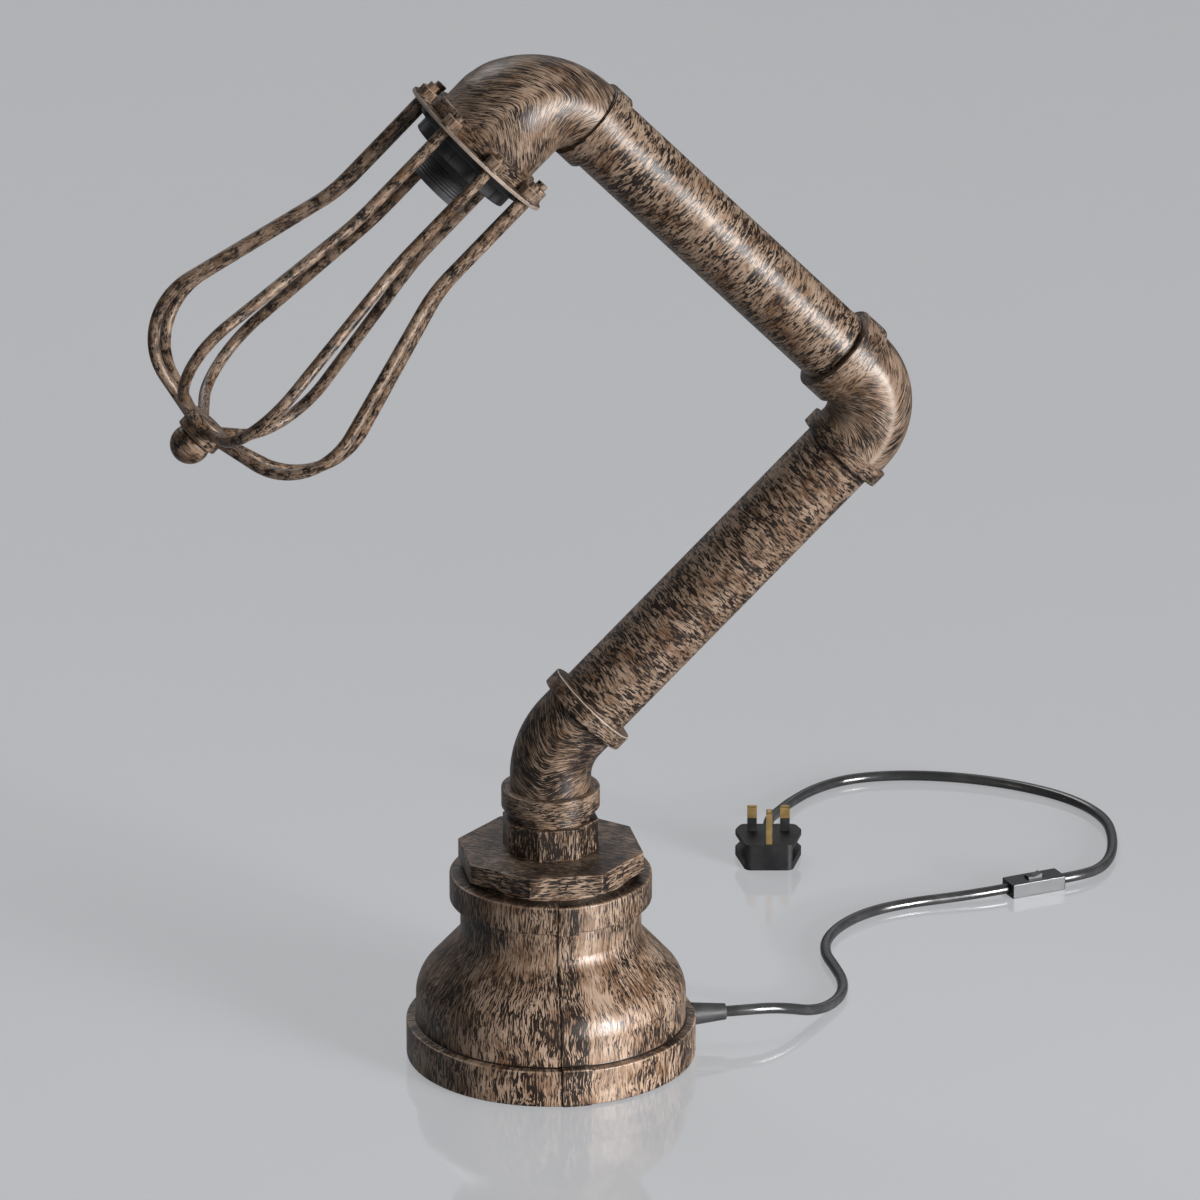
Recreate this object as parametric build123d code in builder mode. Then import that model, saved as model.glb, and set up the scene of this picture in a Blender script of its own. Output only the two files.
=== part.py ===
from build123d import *
import os
from math import atan2, cos, pi, radians, sin, tan

os.makedirs("parts", exist_ok=True)

# Table lamp of threaded pipe fittings. Millimetres, +Z up. The origin is the middle of the base on the
# surface it stands on, the bent arm lies in the XZ plane and leans towards +X, and the cord leaves at +X.

# Fits
seat_clearance = 0.05
swivel_clearance = 0.08
swivel_end_gap = 0.3
cut_overrun = 1.0

# Cast base, from the surface upwards
rim_lift = 1.0
foot_height = 23.8
wall_height = 27.0
cone_height = 31.5
neck_length = 22.4
collar_height = 18.4
bell_radius = 85.7
neck_radius = 57.3
foot_stand_off = 6.3
collar_stand_off = 6.7
foot_round = 1.8
ledge_round = 1.0
shoulder_round = 24.0
neck_round = 12.7
collar_round = 2.2
casting_wall = 6.2
rib_angle = 11.5
rib_height = 1.2
rib_facing = -90.0

# Underside: pad, cover, screws in bosses, ballast
pad_thickness = 2.0
pad_margin = 2.0
cover_thickness = 3.0
cover_ledge = 4.5
boss_count = 3
boss_facing = 60.0
boss_radius = 5.5
boss_inset = 3.0
boss_height = 20.0
cover_screw_radius = 2.0
cover_screw_head_radius = 4.0
cover_screw_length = 14.0
ballast_gap = 3.0
ballast_thickness = 26.0
ballast_hole_radius = 22.0
ballast_slot_width = 18.0

# Reducing bush and nipple, both eight-sided
wrench_sides = 8
bush_seat_wall = 5.3
bush_ledge = 2.0
bush_engagement = 24.0
bush_gap = 3.8
bush_height = 13.1
bush_flange = 3.4
bush_recess_wall = 8.0
bush_web = 14.0
wrench_edge = 0.9
nipple_height = 20.5
nipple_flats = 4.5
nipple_neck = 6.7
nipple_neck_stand_off = 1.45
nipple_shank_step = 2.15

# Pipe
pipe_radius = 24.15
pipe_wall = 3.2
socket_depth = 10.0
lower_pipe_length = 240.1
upper_pipe_length = 228.3
band_edge = 0.6

# Bottom elbow
bottom_turn = 45.0
bottom_stand_off = 1.45
bottom_inner_round = 19.4
bottom_band_stand_off = 6.9
bottom_foot_throat = 7.36
bottom_foot_band = 13.0
bottom_top_throat = 9.46
bottom_top_band = 10.6

# Middle elbow
middle_turn = 90.0
middle_stand_off = 2.35
middle_inner_round = 6.5
middle_lower_band_stand_off = 5.65
middle_lower_throat = 3.1
middle_lower_band = 10.6
middle_upper_band_stand_off = 5.45
middle_upper_throat = 2.0
middle_upper_band = 16.5

# Reducing head elbow
head_turn = 90.0
head_inlet_stand_off = 1.05
head_inlet_crotch = 1.0
head_inlet_band_stand_off = 3.25
head_inlet_band = 13.7
head_inlet_band_lap = 0.6
head_outlet_radius = 35.7
head_outlet_crotch = 1.8
head_outlet_throat = 21.9
head_outlet_band_stand_off = 3.3
head_outlet_band = 9.7
head_wall = 4.2
head_gore_count = 9
head_swell_power = 1.75

# Cage
plate_thickness = 2.4
plate_margin = 2.4
plate_edge = 0.4
plate_screw_radius = 1.6
plate_screw_head_radius = 3.2
plate_screw_length = 9.0
plate_screw_count = 4
wire_count = 8
wire_facing = 0.0
wire_radius = 3.6
wire_gap = 1.5
stud_length = 10.6
washer_thickness = 1.0
nut_height = 6.0
nut_radius = 6.5
cage_straight = 78.0
cage_flare = 40.5
cage_flare_height = 142.0
cage_roof_rise = 18.8
cage_flare_round = 90.0
cage_belly_round = 45.0
hub_web = 0.33
hub_engagement = 4.1
hub_below = 5.8
hub_height = 14.0
hub_edge = 0.8
ball_radius = 12.4
ball_seat = 5.2
ball_stem_radius = 3.0
ball_stem_length = 8.0

# Lampholder
holder_wire_gap = 2.4
holder_flange = 5.5
holder_base_thickness = 5.0
holder_base_edge = 0.8
skirt_height = 9.0
skirt_wall = 3.5
skirt_roof = 3.0
skirt_round = 1.2
skirt_groove_count = 12
skirt_groove_width = 1.2
skirt_groove_depth = 0.7
barrel_length = 20.0
barrel_wall = 2.55
barrel_thread_pitch = 2.0
barrel_thread_depth = 0.8
barrel_thread_turns = 6
barrel_plain_tip = 3.0
insulator_wall = 3.25
insulator_recess = 0.5
insulator_floor = 7.0
shell_bore_radius = 13.4
shell_wall = 0.7
shell_length = 17.5
shell_step = 2.0
contact_pocket_radius = 11.0
contact_radius = 5.0
contact_thickness = 1.2
holder_screw_radius = 1.7
holder_screw_head_radius = 3.4
holder_screw_head_height = 2.4
holder_screw_reach = 2.0
holder_screw_count = 2
lead_hole_allowance = 1.0

# Cord, inner leads and gland
cord_radius = 3.5
lead_bend_radius = 30.0
gland_height = 18.5
gland_root_radius = 7.3
gland_tip_radius = 5.2
gland_length = 21.4
gland_spot_depth = 0.4
gland_shank_wall = 1.5
gland_nut_thickness = 4.0
gland_nut_radius = 8.0
gland_nut_lap = 1.0

# In-line switch
switch_place_x = 365.5
switch_place_y = 207.5
switch_facing = 14.6
switch_length = 40.0
switch_width = 16.0
switch_lower_height = 5.0
switch_upper_height = 5.0
switch_corner_round = 1.2
switch_edge_round = 0.6
switch_floor = 1.5
switch_pocket_length = 25.0
switch_pocket_width = 9.0
switch_screw_offset = 16.0
switch_screw_radius = 1.2
switch_screw_head_radius = 2.2
switch_screw_head_height = 1.4
switch_screw_length = 7.5
contact_strip_length = 8.0
contact_strip_width = 4.0
contact_strip_height = 1.2
contact_strip_offset = 8.0
rocker_length = 10.0
rocker_width = 6.0
rocker_side_gap = 0.3
rocker_end_gap = 1.1
rocker_below = 1.7
rocker_crown = 5.0
rocker_dip = 1.0
rocker_tilt = 8.0
pin_depth = 2.8
pin_radius = 0.9
pin_bearing = 1.8

# Plug
plug_place_x = 198.8
plug_place_y = 274.9
plug_facing = 79.4
plug_depth = 40.0
plug_height = 18.3
plug_front_width = 31.6
plug_wide_width = 45.0
plug_back_width = 37.0
plug_wide_depth = 30.0
plug_round = 5.0
plug_edge_round = 0.8
plug_waist_height = 8.6
plug_flange_height = 3.9
plug_boot_length = 10.0
plug_boot_root_radius = 6.0
plug_boot_tip_radius = 4.6
earth_pin_width = 4.0
earth_pin_depth = 8.0
earth_pin_length = 22.7
earth_pin_inset = 5.5
line_pin_width = 6.4
line_pin_depth = 4.0
line_pin_length = 17.7
pin_spacing = 22.2
pin_row_step = 22.2
pin_root = 6.0
pin_tip_edge = 0.8
sleeve_length = 9.5
sleeve_wall = 0.5

# Heights up the base
foot_top_z = rim_lift + foot_height
shoulder_z = foot_top_z + wall_height
neck_z = shoulder_z + cone_height
collar_z = neck_z + neck_length
collar_top_z = collar_z + collar_height
bush_ledge_z = collar_top_z - bush_engagement
bush_z = collar_top_z + bush_gap
bush_top_z = bush_z + bush_height
nipple_top_z = bush_top_z + nipple_height
neck_top_z = nipple_top_z + nipple_neck
spigot_top_z = neck_top_z + socket_depth
elbow_foot_z = neck_top_z + swivel_end_gap
cover_top_z = pad_thickness + cover_thickness

# Radii of the base
foot_radius = bell_radius + foot_stand_off
collar_radius = neck_radius + collar_stand_off
cavity_radius = bell_radius - casting_wall
cover_radius = cavity_radius + cover_ledge
boss_circle_radius = cavity_radius - boss_inset
ballast_radius = boss_circle_radius - boss_radius - ballast_gap
bush_shank_radius = neck_radius - bush_seat_wall
bush_corner_radius = (bush_shank_radius + bush_flange) / cos(pi / wrench_sides)
throat_radius = bush_shank_radius - bush_ledge
nipple_shank_radius = pipe_radius - nipple_shank_step
nipple_corner_radius = (pipe_radius + nipple_flats) / cos(pi / wrench_sides)
nipple_neck_radius = pipe_radius + nipple_neck_stand_off
bore_radius = pipe_radius - pipe_wall
cone_angle = atan2(bell_radius - neck_radius, cone_height)
wall_drop = casting_wall * tan(cone_angle / 2)

# Arm: three corners, with the straight reach of each elbow beside them
bottom_tube_radius = pipe_radius + bottom_stand_off
bottom_bend_radius = bottom_tube_radius + bottom_inner_round
bottom_tangent = bottom_bend_radius * tan(radians(bottom_turn) / 2)
bottom_foot_reach = bottom_tangent + bottom_foot_throat + bottom_foot_band
bottom_top_reach = bottom_tangent + bottom_top_throat + bottom_top_band
middle_tube_radius = pipe_radius + middle_stand_off
middle_bend_radius = middle_tube_radius + middle_inner_round
middle_tangent = middle_bend_radius * tan(radians(middle_turn) / 2)
middle_lower_reach = middle_tangent + middle_lower_throat + middle_lower_band
middle_upper_reach = middle_tangent + middle_upper_throat + middle_upper_band
head_inlet_radius = pipe_radius + head_inlet_stand_off
head_inlet_arm = head_inlet_radius + head_inlet_crotch
head_outlet_arm = head_outlet_radius + head_outlet_crotch
head_inlet_tangent = (head_outlet_arm - head_inlet_arm * cos(radians(head_turn))) / sin(radians(head_turn))
head_outlet_tangent = (head_inlet_arm - head_outlet_arm * cos(radians(head_turn))) / sin(radians(head_turn))
head_inlet_reach = head_inlet_tangent - head_inlet_band_lap + head_inlet_band
head_outlet_reach = head_outlet_tangent + head_outlet_throat + head_outlet_band

lower_pipe_start = bottom_top_reach - socket_depth
lower_pipe_stop = middle_lower_reach - socket_depth + swivel_end_gap
upper_pipe_start = middle_upper_reach - socket_depth
upper_pipe_stop = head_inlet_reach - socket_depth + swivel_end_gap
lower_reach = lower_pipe_start + lower_pipe_length + lower_pipe_stop
upper_reach = upper_pipe_start + upper_pipe_length + upper_pipe_stop

lower_lean = radians(bottom_turn)
upper_lean = lower_lean - radians(middle_turn)
cage_lean = upper_lean - radians(head_turn)
lower_dir = Vector(sin(lower_lean), 0, cos(lower_lean))
upper_dir = Vector(sin(upper_lean), 0, cos(upper_lean))
cage_dir = Vector(sin(cage_lean), 0, cos(cage_lean))
bottom_corner = Vector(0, 0, elbow_foot_z + bottom_foot_reach)
middle_corner = bottom_corner + lower_dir * lower_reach
head_corner = middle_corner + upper_dir * upper_reach
bottom_line = Plane(origin=(0, 0, 0), x_dir=(0, 1, 0), z_dir=(0, 0, 1))
lower_line = Plane(origin=bottom_corner, x_dir=(0, 1, 0), z_dir=lower_dir)
lower_end_line = Plane(origin=middle_corner, x_dir=(0, 1, 0), z_dir=lower_dir)
upper_line = Plane(origin=middle_corner, x_dir=(0, 1, 0), z_dir=upper_dir)
upper_end_line = Plane(origin=head_corner, x_dir=(0, 1, 0), z_dir=upper_dir)
outlet_line = Plane(origin=head_corner, x_dir=(0, -1, 0), z_dir=cage_dir)

# Foot pad
with BuildPart() as foot_pad:
    with BuildSketch(Plane.XY):
        Circle(cover_radius - pad_margin)
    extrude(amount=pad_thickness)
foot_pad.part.label = "foot_pad"
export_step(foot_pad.part, "parts/foot_pad.step")

# Cover plate let into the rim
with BuildPart() as cover_plate:
    with BuildSketch(Plane.XY.offset(pad_thickness)):
        Circle(cover_radius)
    extrude(amount=cover_thickness)
    with BuildSketch(Plane.XY.offset(pad_thickness)):
        with PolarLocations(boss_circle_radius, boss_count, boss_facing):
            Circle(cover_screw_head_radius + seat_clearance)
    extrude(amount=cover_screw_head_radius - cover_screw_radius, taper=45, mode=Mode.SUBTRACT)
    with BuildSketch(Plane.XY.offset(pad_thickness)):
        with PolarLocations(boss_circle_radius, boss_count, boss_facing):
            Circle(cover_screw_radius + seat_clearance)
    extrude(amount=cover_thickness, mode=Mode.SUBTRACT)
cover_plate.part.label = "cover_plate"
export_step(cover_plate.part, "parts/cover_plate.step")

# Countersunk screws of the cover
with BuildPart() as cover_screws:
    with BuildSketch(Plane.XY.offset(pad_thickness)):
        with PolarLocations(boss_circle_radius, boss_count, boss_facing):
            Circle(cover_screw_head_radius)
    extrude(amount=cover_screw_head_radius - cover_screw_radius, taper=45)
    with BuildSketch(Plane.XY.offset(pad_thickness)):
        with PolarLocations(boss_circle_radius, boss_count, boss_facing):
            Circle(cover_screw_radius)
    extrude(amount=cover_screw_length)
cover_screws.part.label = "cover_screws"
export_step(cover_screws.part, "parts/cover_screws.step")

# Ballast ring on the cover, slotted for the lead
with BuildPart() as ballast:
    with BuildSketch(Plane.XY.offset(cover_top_z)):
        Circle(ballast_radius)
        Circle(ballast_hole_radius, mode=Mode.SUBTRACT)
        Rectangle(ballast_radius + cut_overrun, ballast_slot_width, align=(Align.MIN, Align.CENTER), mode=Mode.SUBTRACT)
    extrude(amount=ballast_thickness)
ballast.part.label = "ballast"
export_step(ballast.part, "parts/ballast.step")


def bell_outline(grow):
    """Corners of half the bell's outer section, from the middle of the rim to the middle of the collar."""
    return [
        (0, rim_lift),
        (foot_radius + grow, rim_lift),
        (foot_radius + grow, foot_top_z + grow),
        (bell_radius + grow, foot_top_z + grow),
        (bell_radius + grow, shoulder_z),
        (neck_radius + grow, neck_z),
        (neck_radius + grow, collar_z - grow),
        (collar_radius + grow, collar_z - grow),
        (collar_radius + grow, collar_top_z),
        (0, collar_top_z),
    ]


bell_rounds = [
    foot_round,
    foot_round,
    ledge_round,
    shoulder_round,
    neck_round,
    ledge_round,
    collar_round,
    collar_round,
]
bell_hollow = [
    (0, rim_lift - cut_overrun),
    (cover_radius + seat_clearance, rim_lift - cut_overrun),
    (cover_radius + seat_clearance, cover_top_z),
    (cavity_radius, cover_top_z),
    (cavity_radius, shoulder_z - wall_drop),
    (throat_radius, neck_z - wall_drop),
    (throat_radius, bush_ledge_z),
    (bush_shank_radius + seat_clearance, bush_ledge_z),
    (bush_shank_radius + seat_clearance, collar_top_z + cut_overrun),
    (0, collar_top_z + cut_overrun),
]
gland_seat_x = foot_radius - gland_spot_depth
gland_shank_radius = cord_radius + seat_clearance + gland_shank_wall
front_rib_start = rib_facing - rib_angle / 2
back_rib_start = rib_facing + 180 - rib_angle / 2
front_rib_plane = Plane(
    origin=(0, 0, 0),
    x_dir=(cos(radians(front_rib_start)), sin(radians(front_rib_start)), 0),
    z_dir=(sin(radians(front_rib_start)), -cos(radians(front_rib_start)), 0),
)
back_rib_plane = Plane(
    origin=(0, 0, 0),
    x_dir=(cos(radians(back_rib_start)), sin(radians(back_rib_start)), 0),
    z_dir=(sin(radians(back_rib_start)), -cos(radians(back_rib_start)), 0),
)

# Bell base: hollow casting with a rib down the front and one down the back
with BuildPart() as base_bell:
    with BuildSketch(Plane.XZ):
        with BuildLine():
            outer = FilletPolyline(*bell_outline(0), radius=bell_rounds)
            Line(outer @ 1, outer @ 0)
        make_face()
    revolve(axis=Axis.Z)
    with BuildSketch(front_rib_plane):
        with BuildLine():
            front_rib = FilletPolyline(*bell_outline(rib_height), radius=bell_rounds)
            Line(front_rib @ 1, front_rib @ 0)
        make_face()
    revolve(axis=Axis.Z, revolution_arc=rib_angle)
    with BuildSketch(back_rib_plane):
        with BuildLine():
            back_rib = FilletPolyline(*bell_outline(rib_height), radius=bell_rounds)
            Line(back_rib @ 1, back_rib @ 0)
        make_face()
    revolve(axis=Axis.Z, revolution_arc=rib_angle)
    with BuildSketch(Plane.XZ):
        with BuildLine():
            Polyline(*bell_hollow, close=True)
        make_face()
    revolve(axis=Axis.Z, mode=Mode.SUBTRACT)
    with BuildSketch(Plane.XY.offset(cover_top_z)):
        with PolarLocations(boss_circle_radius, boss_count, boss_facing):
            Circle(boss_radius)
    extrude(amount=boss_height)
    with BuildSketch(Plane.XY.offset(cover_top_z)):
        with PolarLocations(boss_circle_radius, boss_count, boss_facing):
            Circle(cover_screw_radius + seat_clearance)
    extrude(amount=cover_screw_length - cover_thickness, mode=Mode.SUBTRACT)
    with BuildSketch(Plane.YZ.offset(gland_seat_x)):
        with Locations((0, gland_height)):
            Circle(gland_root_radius + seat_clearance)
    extrude(amount=gland_spot_depth + cut_overrun, mode=Mode.SUBTRACT)
    with BuildSketch(Plane.YZ.offset(gland_seat_x)):
        with Locations((0, gland_height)):
            Circle(gland_shank_radius + seat_clearance)
    extrude(amount=cavity_radius - foot_radius - cut_overrun, mode=Mode.SUBTRACT)
base_bell.part.label = "base_bell"
export_step(base_bell.part, "parts/base_bell.step")

# Reducing bush screwed into the collar
with BuildPart() as reducing_bush:
    with BuildSketch(Plane.XY.offset(bush_z)):
        RegularPolygon(bush_corner_radius, wrench_sides, rotation=180 / wrench_sides)
    extrude(amount=bush_height)
    chamfer(reducing_bush.edges(), length=wrench_edge)
    with BuildSketch(Plane.XY.offset(bush_ledge_z)):
        Circle(bush_shank_radius)
    extrude(amount=bush_z - bush_ledge_z)
    with BuildSketch(Plane.XY.offset(bush_ledge_z)):
        Circle(bush_shank_radius - bush_recess_wall)
    extrude(amount=bush_top_z - bush_web - bush_ledge_z, mode=Mode.SUBTRACT)
    with BuildSketch(Plane.XY.offset(bush_ledge_z)):
        Circle(nipple_shank_radius + seat_clearance)
    extrude(amount=bush_top_z - bush_ledge_z, mode=Mode.SUBTRACT)
reducing_bush.part.label = "reducing_bush"
export_step(reducing_bush.part, "parts/reducing_bush.step")

# Nipple: shank, wrench flats, round neck and the spigot that the arm turns on
with BuildPart() as nipple:
    with BuildSketch(Plane.XY.offset(bush_top_z)):
        RegularPolygon(nipple_corner_radius, wrench_sides, rotation=180 / wrench_sides)
    extrude(amount=nipple_height)
    chamfer(nipple.edges(), length=wrench_edge)
    with BuildSketch(Plane.XY.offset(bush_top_z - bush_web)):
        Circle(nipple_shank_radius)
    extrude(amount=bush_web)
    with BuildSketch(Plane.XY.offset(nipple_top_z)):
        Circle(nipple_neck_radius)
    extrude(amount=nipple_neck)
    with BuildSketch(Plane.XY.offset(neck_top_z)):
        Circle(pipe_radius)
    extrude(amount=socket_depth)
    with BuildSketch(Plane.XY.offset(bush_top_z - bush_web)):
        Circle(nipple_shank_radius - pipe_wall)
    extrude(amount=spigot_top_z - bush_top_z + bush_web, mode=Mode.SUBTRACT)
nipple.part.label = "nipple"
export_step(nipple.part, "parts/nipple.step")

# Gland in the foot band, with its nut inside
gland_tip_x = gland_seat_x + gland_length
nut_face_x = (cavity_radius**2 - gland_nut_radius**2) ** 0.5 - seat_clearance
gland_shank_x = nut_face_x - gland_nut_thickness - gland_nut_lap
with BuildPart() as cord_gland:
    with BuildSketch(Plane.YZ.offset(gland_seat_x)):
        with Locations((0, gland_height)):
            Circle(gland_root_radius)
    with BuildSketch(Plane.YZ.offset(gland_tip_x)):
        with Locations((0, gland_height)):
            Circle(gland_tip_radius)
    loft()
    with BuildSketch(Plane.YZ.offset(gland_shank_x)):
        with Locations((0, gland_height)):
            Circle(gland_shank_radius)
    extrude(amount=gland_seat_x - gland_shank_x)
    with BuildSketch(Plane.YZ.offset(gland_shank_x)):
        with Locations((0, gland_height)):
            Circle(cord_radius + seat_clearance)
    extrude(amount=gland_tip_x - gland_shank_x, mode=Mode.SUBTRACT)
cord_gland.part.label = "cord_gland"
export_step(cord_gland.part, "parts/cord_gland.step")

with BuildPart() as gland_nut:
    with BuildSketch(Plane.YZ.offset(nut_face_x - gland_nut_thickness)):
        with Locations((0, gland_height)):
            RegularPolygon(gland_nut_radius, 6)
            Circle(gland_shank_radius + seat_clearance, mode=Mode.SUBTRACT)
    extrude(amount=gland_nut_thickness)
gland_nut.part.label = "gland_nut"
export_step(gland_nut.part, "parts/gland_nut.step")

# Lead inside the base, from the gland's tip to the swivel
with BuildPart() as base_flex:
    with BuildLine() as base_run:
        FilletPolyline(
            (gland_tip_x, 0, gland_height),
            (0, 0, gland_height),
            (0, 0, spigot_top_z),
            radius=lead_bend_radius,
        )
    with BuildSketch(Plane(origin=base_run.line @ 0, z_dir=base_run.line % 0)):
        Circle(cord_radius)
    sweep(path=base_run.line)
base_flex.part.label = "base_flex"
export_step(base_flex.part, "parts/base_flex.step")

# Bottom elbow: its foot turns on the nipple's spigot, its top holds the lower pipe
bottom_foot = Vector(0, 0, elbow_foot_z)
bottom_top = bottom_corner + lower_dir * bottom_top_reach
with BuildPart() as bottom_elbow:
    with BuildLine() as bottom_run:
        FilletPolyline(bottom_foot, bottom_corner, bottom_top, radius=bottom_bend_radius)
    with BuildSketch(bottom_line.offset(elbow_foot_z)):
        Circle(bottom_tube_radius)
    sweep(path=bottom_run.line)
    with BuildSketch(bottom_line.offset(elbow_foot_z)):
        Circle(pipe_radius + bottom_band_stand_off)
    extrude(amount=bottom_foot_band)
    chamfer(bottom_elbow.edges(Select.LAST).filter_by(GeomType.CIRCLE).group_by(SortBy.RADIUS)[-1], length=band_edge)
    with BuildSketch(lower_line.offset(bottom_top_reach)):
        Circle(pipe_radius + bottom_band_stand_off)
    extrude(amount=-bottom_top_band)
    chamfer(bottom_elbow.edges(Select.LAST).filter_by(GeomType.CIRCLE).group_by(SortBy.RADIUS)[-1], length=band_edge)
    with BuildSketch(bottom_line.offset(elbow_foot_z)):
        Circle(bore_radius)
    sweep(path=bottom_run.line, mode=Mode.SUBTRACT)
    with BuildSketch(bottom_line.offset(elbow_foot_z)):
        Circle(pipe_radius + swivel_clearance)
    extrude(amount=socket_depth, mode=Mode.SUBTRACT)
    with BuildSketch(lower_line.offset(bottom_top_reach)):
        Circle(pipe_radius + seat_clearance)
    extrude(amount=-socket_depth, mode=Mode.SUBTRACT)
bottom_elbow.part.label = "bottom_elbow"
export_step(bottom_elbow.part, "parts/bottom_elbow.step")

# Lower pipe
with BuildPart() as lower_pipe:
    with BuildSketch(lower_line.offset(lower_pipe_start)):
        Circle(pipe_radius)
        Circle(bore_radius, mode=Mode.SUBTRACT)
    extrude(amount=lower_pipe_length)
lower_pipe.part.label = "lower_pipe"
export_step(lower_pipe.part, "parts/lower_pipe.step")

# Lead in the lower arm
with BuildPart() as lower_flex:
    with BuildLine() as lower_run:
        FilletPolyline(
            (0, 0, spigot_top_z + swivel_end_gap),
            bottom_corner,
            middle_corner - lower_dir * lower_pipe_stop,
            radius=lead_bend_radius,
        )
    with BuildSketch(Plane(origin=lower_run.line @ 0, z_dir=lower_run.line % 0)):
        Circle(cord_radius)
    sweep(path=lower_run.line)
lower_flex.part.label = "lower_flex"
export_step(lower_flex.part, "parts/lower_flex.step")

# Middle elbow: turns on the lower pipe, holds the upper pipe
middle_foot = middle_corner - lower_dir * middle_lower_reach
middle_top = middle_corner + upper_dir * middle_upper_reach
with BuildPart() as middle_elbow:
    with BuildLine() as middle_run:
        FilletPolyline(middle_foot, middle_corner, middle_top, radius=middle_bend_radius)
    with BuildSketch(lower_end_line.offset(-middle_lower_reach)):
        Circle(middle_tube_radius)
    sweep(path=middle_run.line)
    with BuildSketch(lower_end_line.offset(-middle_lower_reach)):
        Circle(pipe_radius + middle_lower_band_stand_off)
    extrude(amount=middle_lower_band)
    chamfer(middle_elbow.edges(Select.LAST).filter_by(GeomType.CIRCLE).group_by(SortBy.RADIUS)[-1], length=band_edge)
    with BuildSketch(upper_line.offset(middle_upper_reach)):
        Circle(pipe_radius + middle_upper_band_stand_off)
    extrude(amount=-middle_upper_band)
    chamfer(middle_elbow.edges(Select.LAST).filter_by(GeomType.CIRCLE).group_by(SortBy.RADIUS)[-1], length=band_edge)
    with BuildSketch(lower_end_line.offset(-middle_lower_reach)):
        Circle(bore_radius)
    sweep(path=middle_run.line, mode=Mode.SUBTRACT)
    with BuildSketch(lower_end_line.offset(-middle_lower_reach)):
        Circle(pipe_radius + swivel_clearance)
    extrude(amount=socket_depth, mode=Mode.SUBTRACT)
    with BuildSketch(upper_line.offset(middle_upper_reach)):
        Circle(pipe_radius + seat_clearance)
    extrude(amount=-socket_depth, mode=Mode.SUBTRACT)
middle_elbow.part.label = "middle_elbow"
export_step(middle_elbow.part, "parts/middle_elbow.step")

# Upper pipe
with BuildPart() as upper_pipe:
    with BuildSketch(upper_line.offset(upper_pipe_start)):
        Circle(pipe_radius)
        Circle(bore_radius, mode=Mode.SUBTRACT)
    extrude(amount=upper_pipe_length)
upper_pipe.part.label = "upper_pipe"
export_step(upper_pipe.part, "parts/upper_pipe.step")

# Lead in the upper arm
with BuildPart() as upper_flex:
    with BuildLine() as upper_run:
        FilletPolyline(
            middle_corner - lower_dir * (lower_pipe_stop - swivel_end_gap),
            middle_corner,
            head_corner - upper_dir * upper_pipe_stop,
            radius=lead_bend_radius,
        )
    with BuildSketch(Plane(origin=upper_run.line @ 0, z_dir=upper_run.line % 0)):
        Circle(cord_radius)
    sweep(path=upper_run.line)
upper_flex.part.label = "upper_flex"
export_step(upper_flex.part, "parts/upper_flex.step")

# Head elbow: round sections that widen as they turn about the inner corner
head_pivot = (
    head_corner
    - upper_dir * (head_outlet_arm / sin(radians(head_turn)))
    + cage_dir * (head_inlet_arm / sin(radians(head_turn)))
)
head_section_planes = []
head_section_radii = []
for section_index in range(head_gore_count + 1):
    turn_share = section_index / head_gore_count
    lean = upper_lean - radians(head_turn) * turn_share
    along = Vector(sin(lean), 0, cos(lean))
    outward = Vector(cos(lean), 0, -sin(lean))
    swell_share = turn_share**head_swell_power
    arm = head_inlet_arm + (head_outlet_arm - head_inlet_arm) * swell_share
    head_section_planes.append(Plane(origin=head_pivot + outward * arm, x_dir=(0, 1, 0), z_dir=along))
    head_section_radii.append(head_inlet_radius + (head_outlet_radius - head_inlet_radius) * swell_share)
with BuildPart() as head_elbow:
    with BuildSketch(upper_end_line.offset(-head_inlet_reach)):
        Circle(pipe_radius + head_inlet_band_stand_off)
    extrude(amount=head_inlet_band)
    chamfer(head_elbow.edges(), length=band_edge)
    with BuildSketch(outlet_line.offset(head_outlet_reach)):
        Circle(head_outlet_radius + head_outlet_band_stand_off)
    extrude(amount=-head_outlet_band)
    chamfer(head_elbow.edges().filter_by(GeomType.CIRCLE).group_by(SortBy.RADIUS)[-1], length=band_edge)
    for gore_index in range(head_gore_count):
        with BuildSketch(head_section_planes[gore_index]):
            Circle(head_section_radii[gore_index])
        with BuildSketch(head_section_planes[gore_index + 1]):
            Circle(head_section_radii[gore_index + 1])
        loft(ruled=True)
    with BuildSketch(outlet_line.offset(head_outlet_tangent)):
        Circle(head_outlet_radius)
    extrude(amount=head_outlet_throat + head_outlet_band)
    for gore_index in range(head_gore_count):
        with BuildSketch(head_section_planes[gore_index]):
            Circle(head_section_radii[gore_index] - head_wall)
        with BuildSketch(head_section_planes[gore_index + 1]):
            Circle(head_section_radii[gore_index + 1] - head_wall)
        loft(ruled=True, mode=Mode.SUBTRACT)
    with BuildSketch(outlet_line.offset(head_outlet_tangent)):
        Circle(head_outlet_radius - head_wall)
    extrude(amount=head_outlet_throat + head_outlet_band, mode=Mode.SUBTRACT)
    with BuildSketch(upper_end_line.offset(-head_inlet_reach)):
        Circle(head_inlet_radius - head_wall)
    extrude(amount=head_inlet_reach - head_inlet_tangent, mode=Mode.SUBTRACT)
    with BuildSketch(upper_end_line.offset(-head_inlet_reach)):
        Circle(pipe_radius + swivel_clearance)
    extrude(amount=socket_depth, mode=Mode.SUBTRACT)
    with BuildSketch(outlet_line.offset(head_outlet_reach)):
        with PolarLocations(head_outlet_radius, plate_screw_count):
            Circle(plate_screw_radius + seat_clearance)
    extrude(amount=plate_thickness - plate_screw_length, mode=Mode.SUBTRACT)
head_elbow.part.label = "head_elbow"
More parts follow.
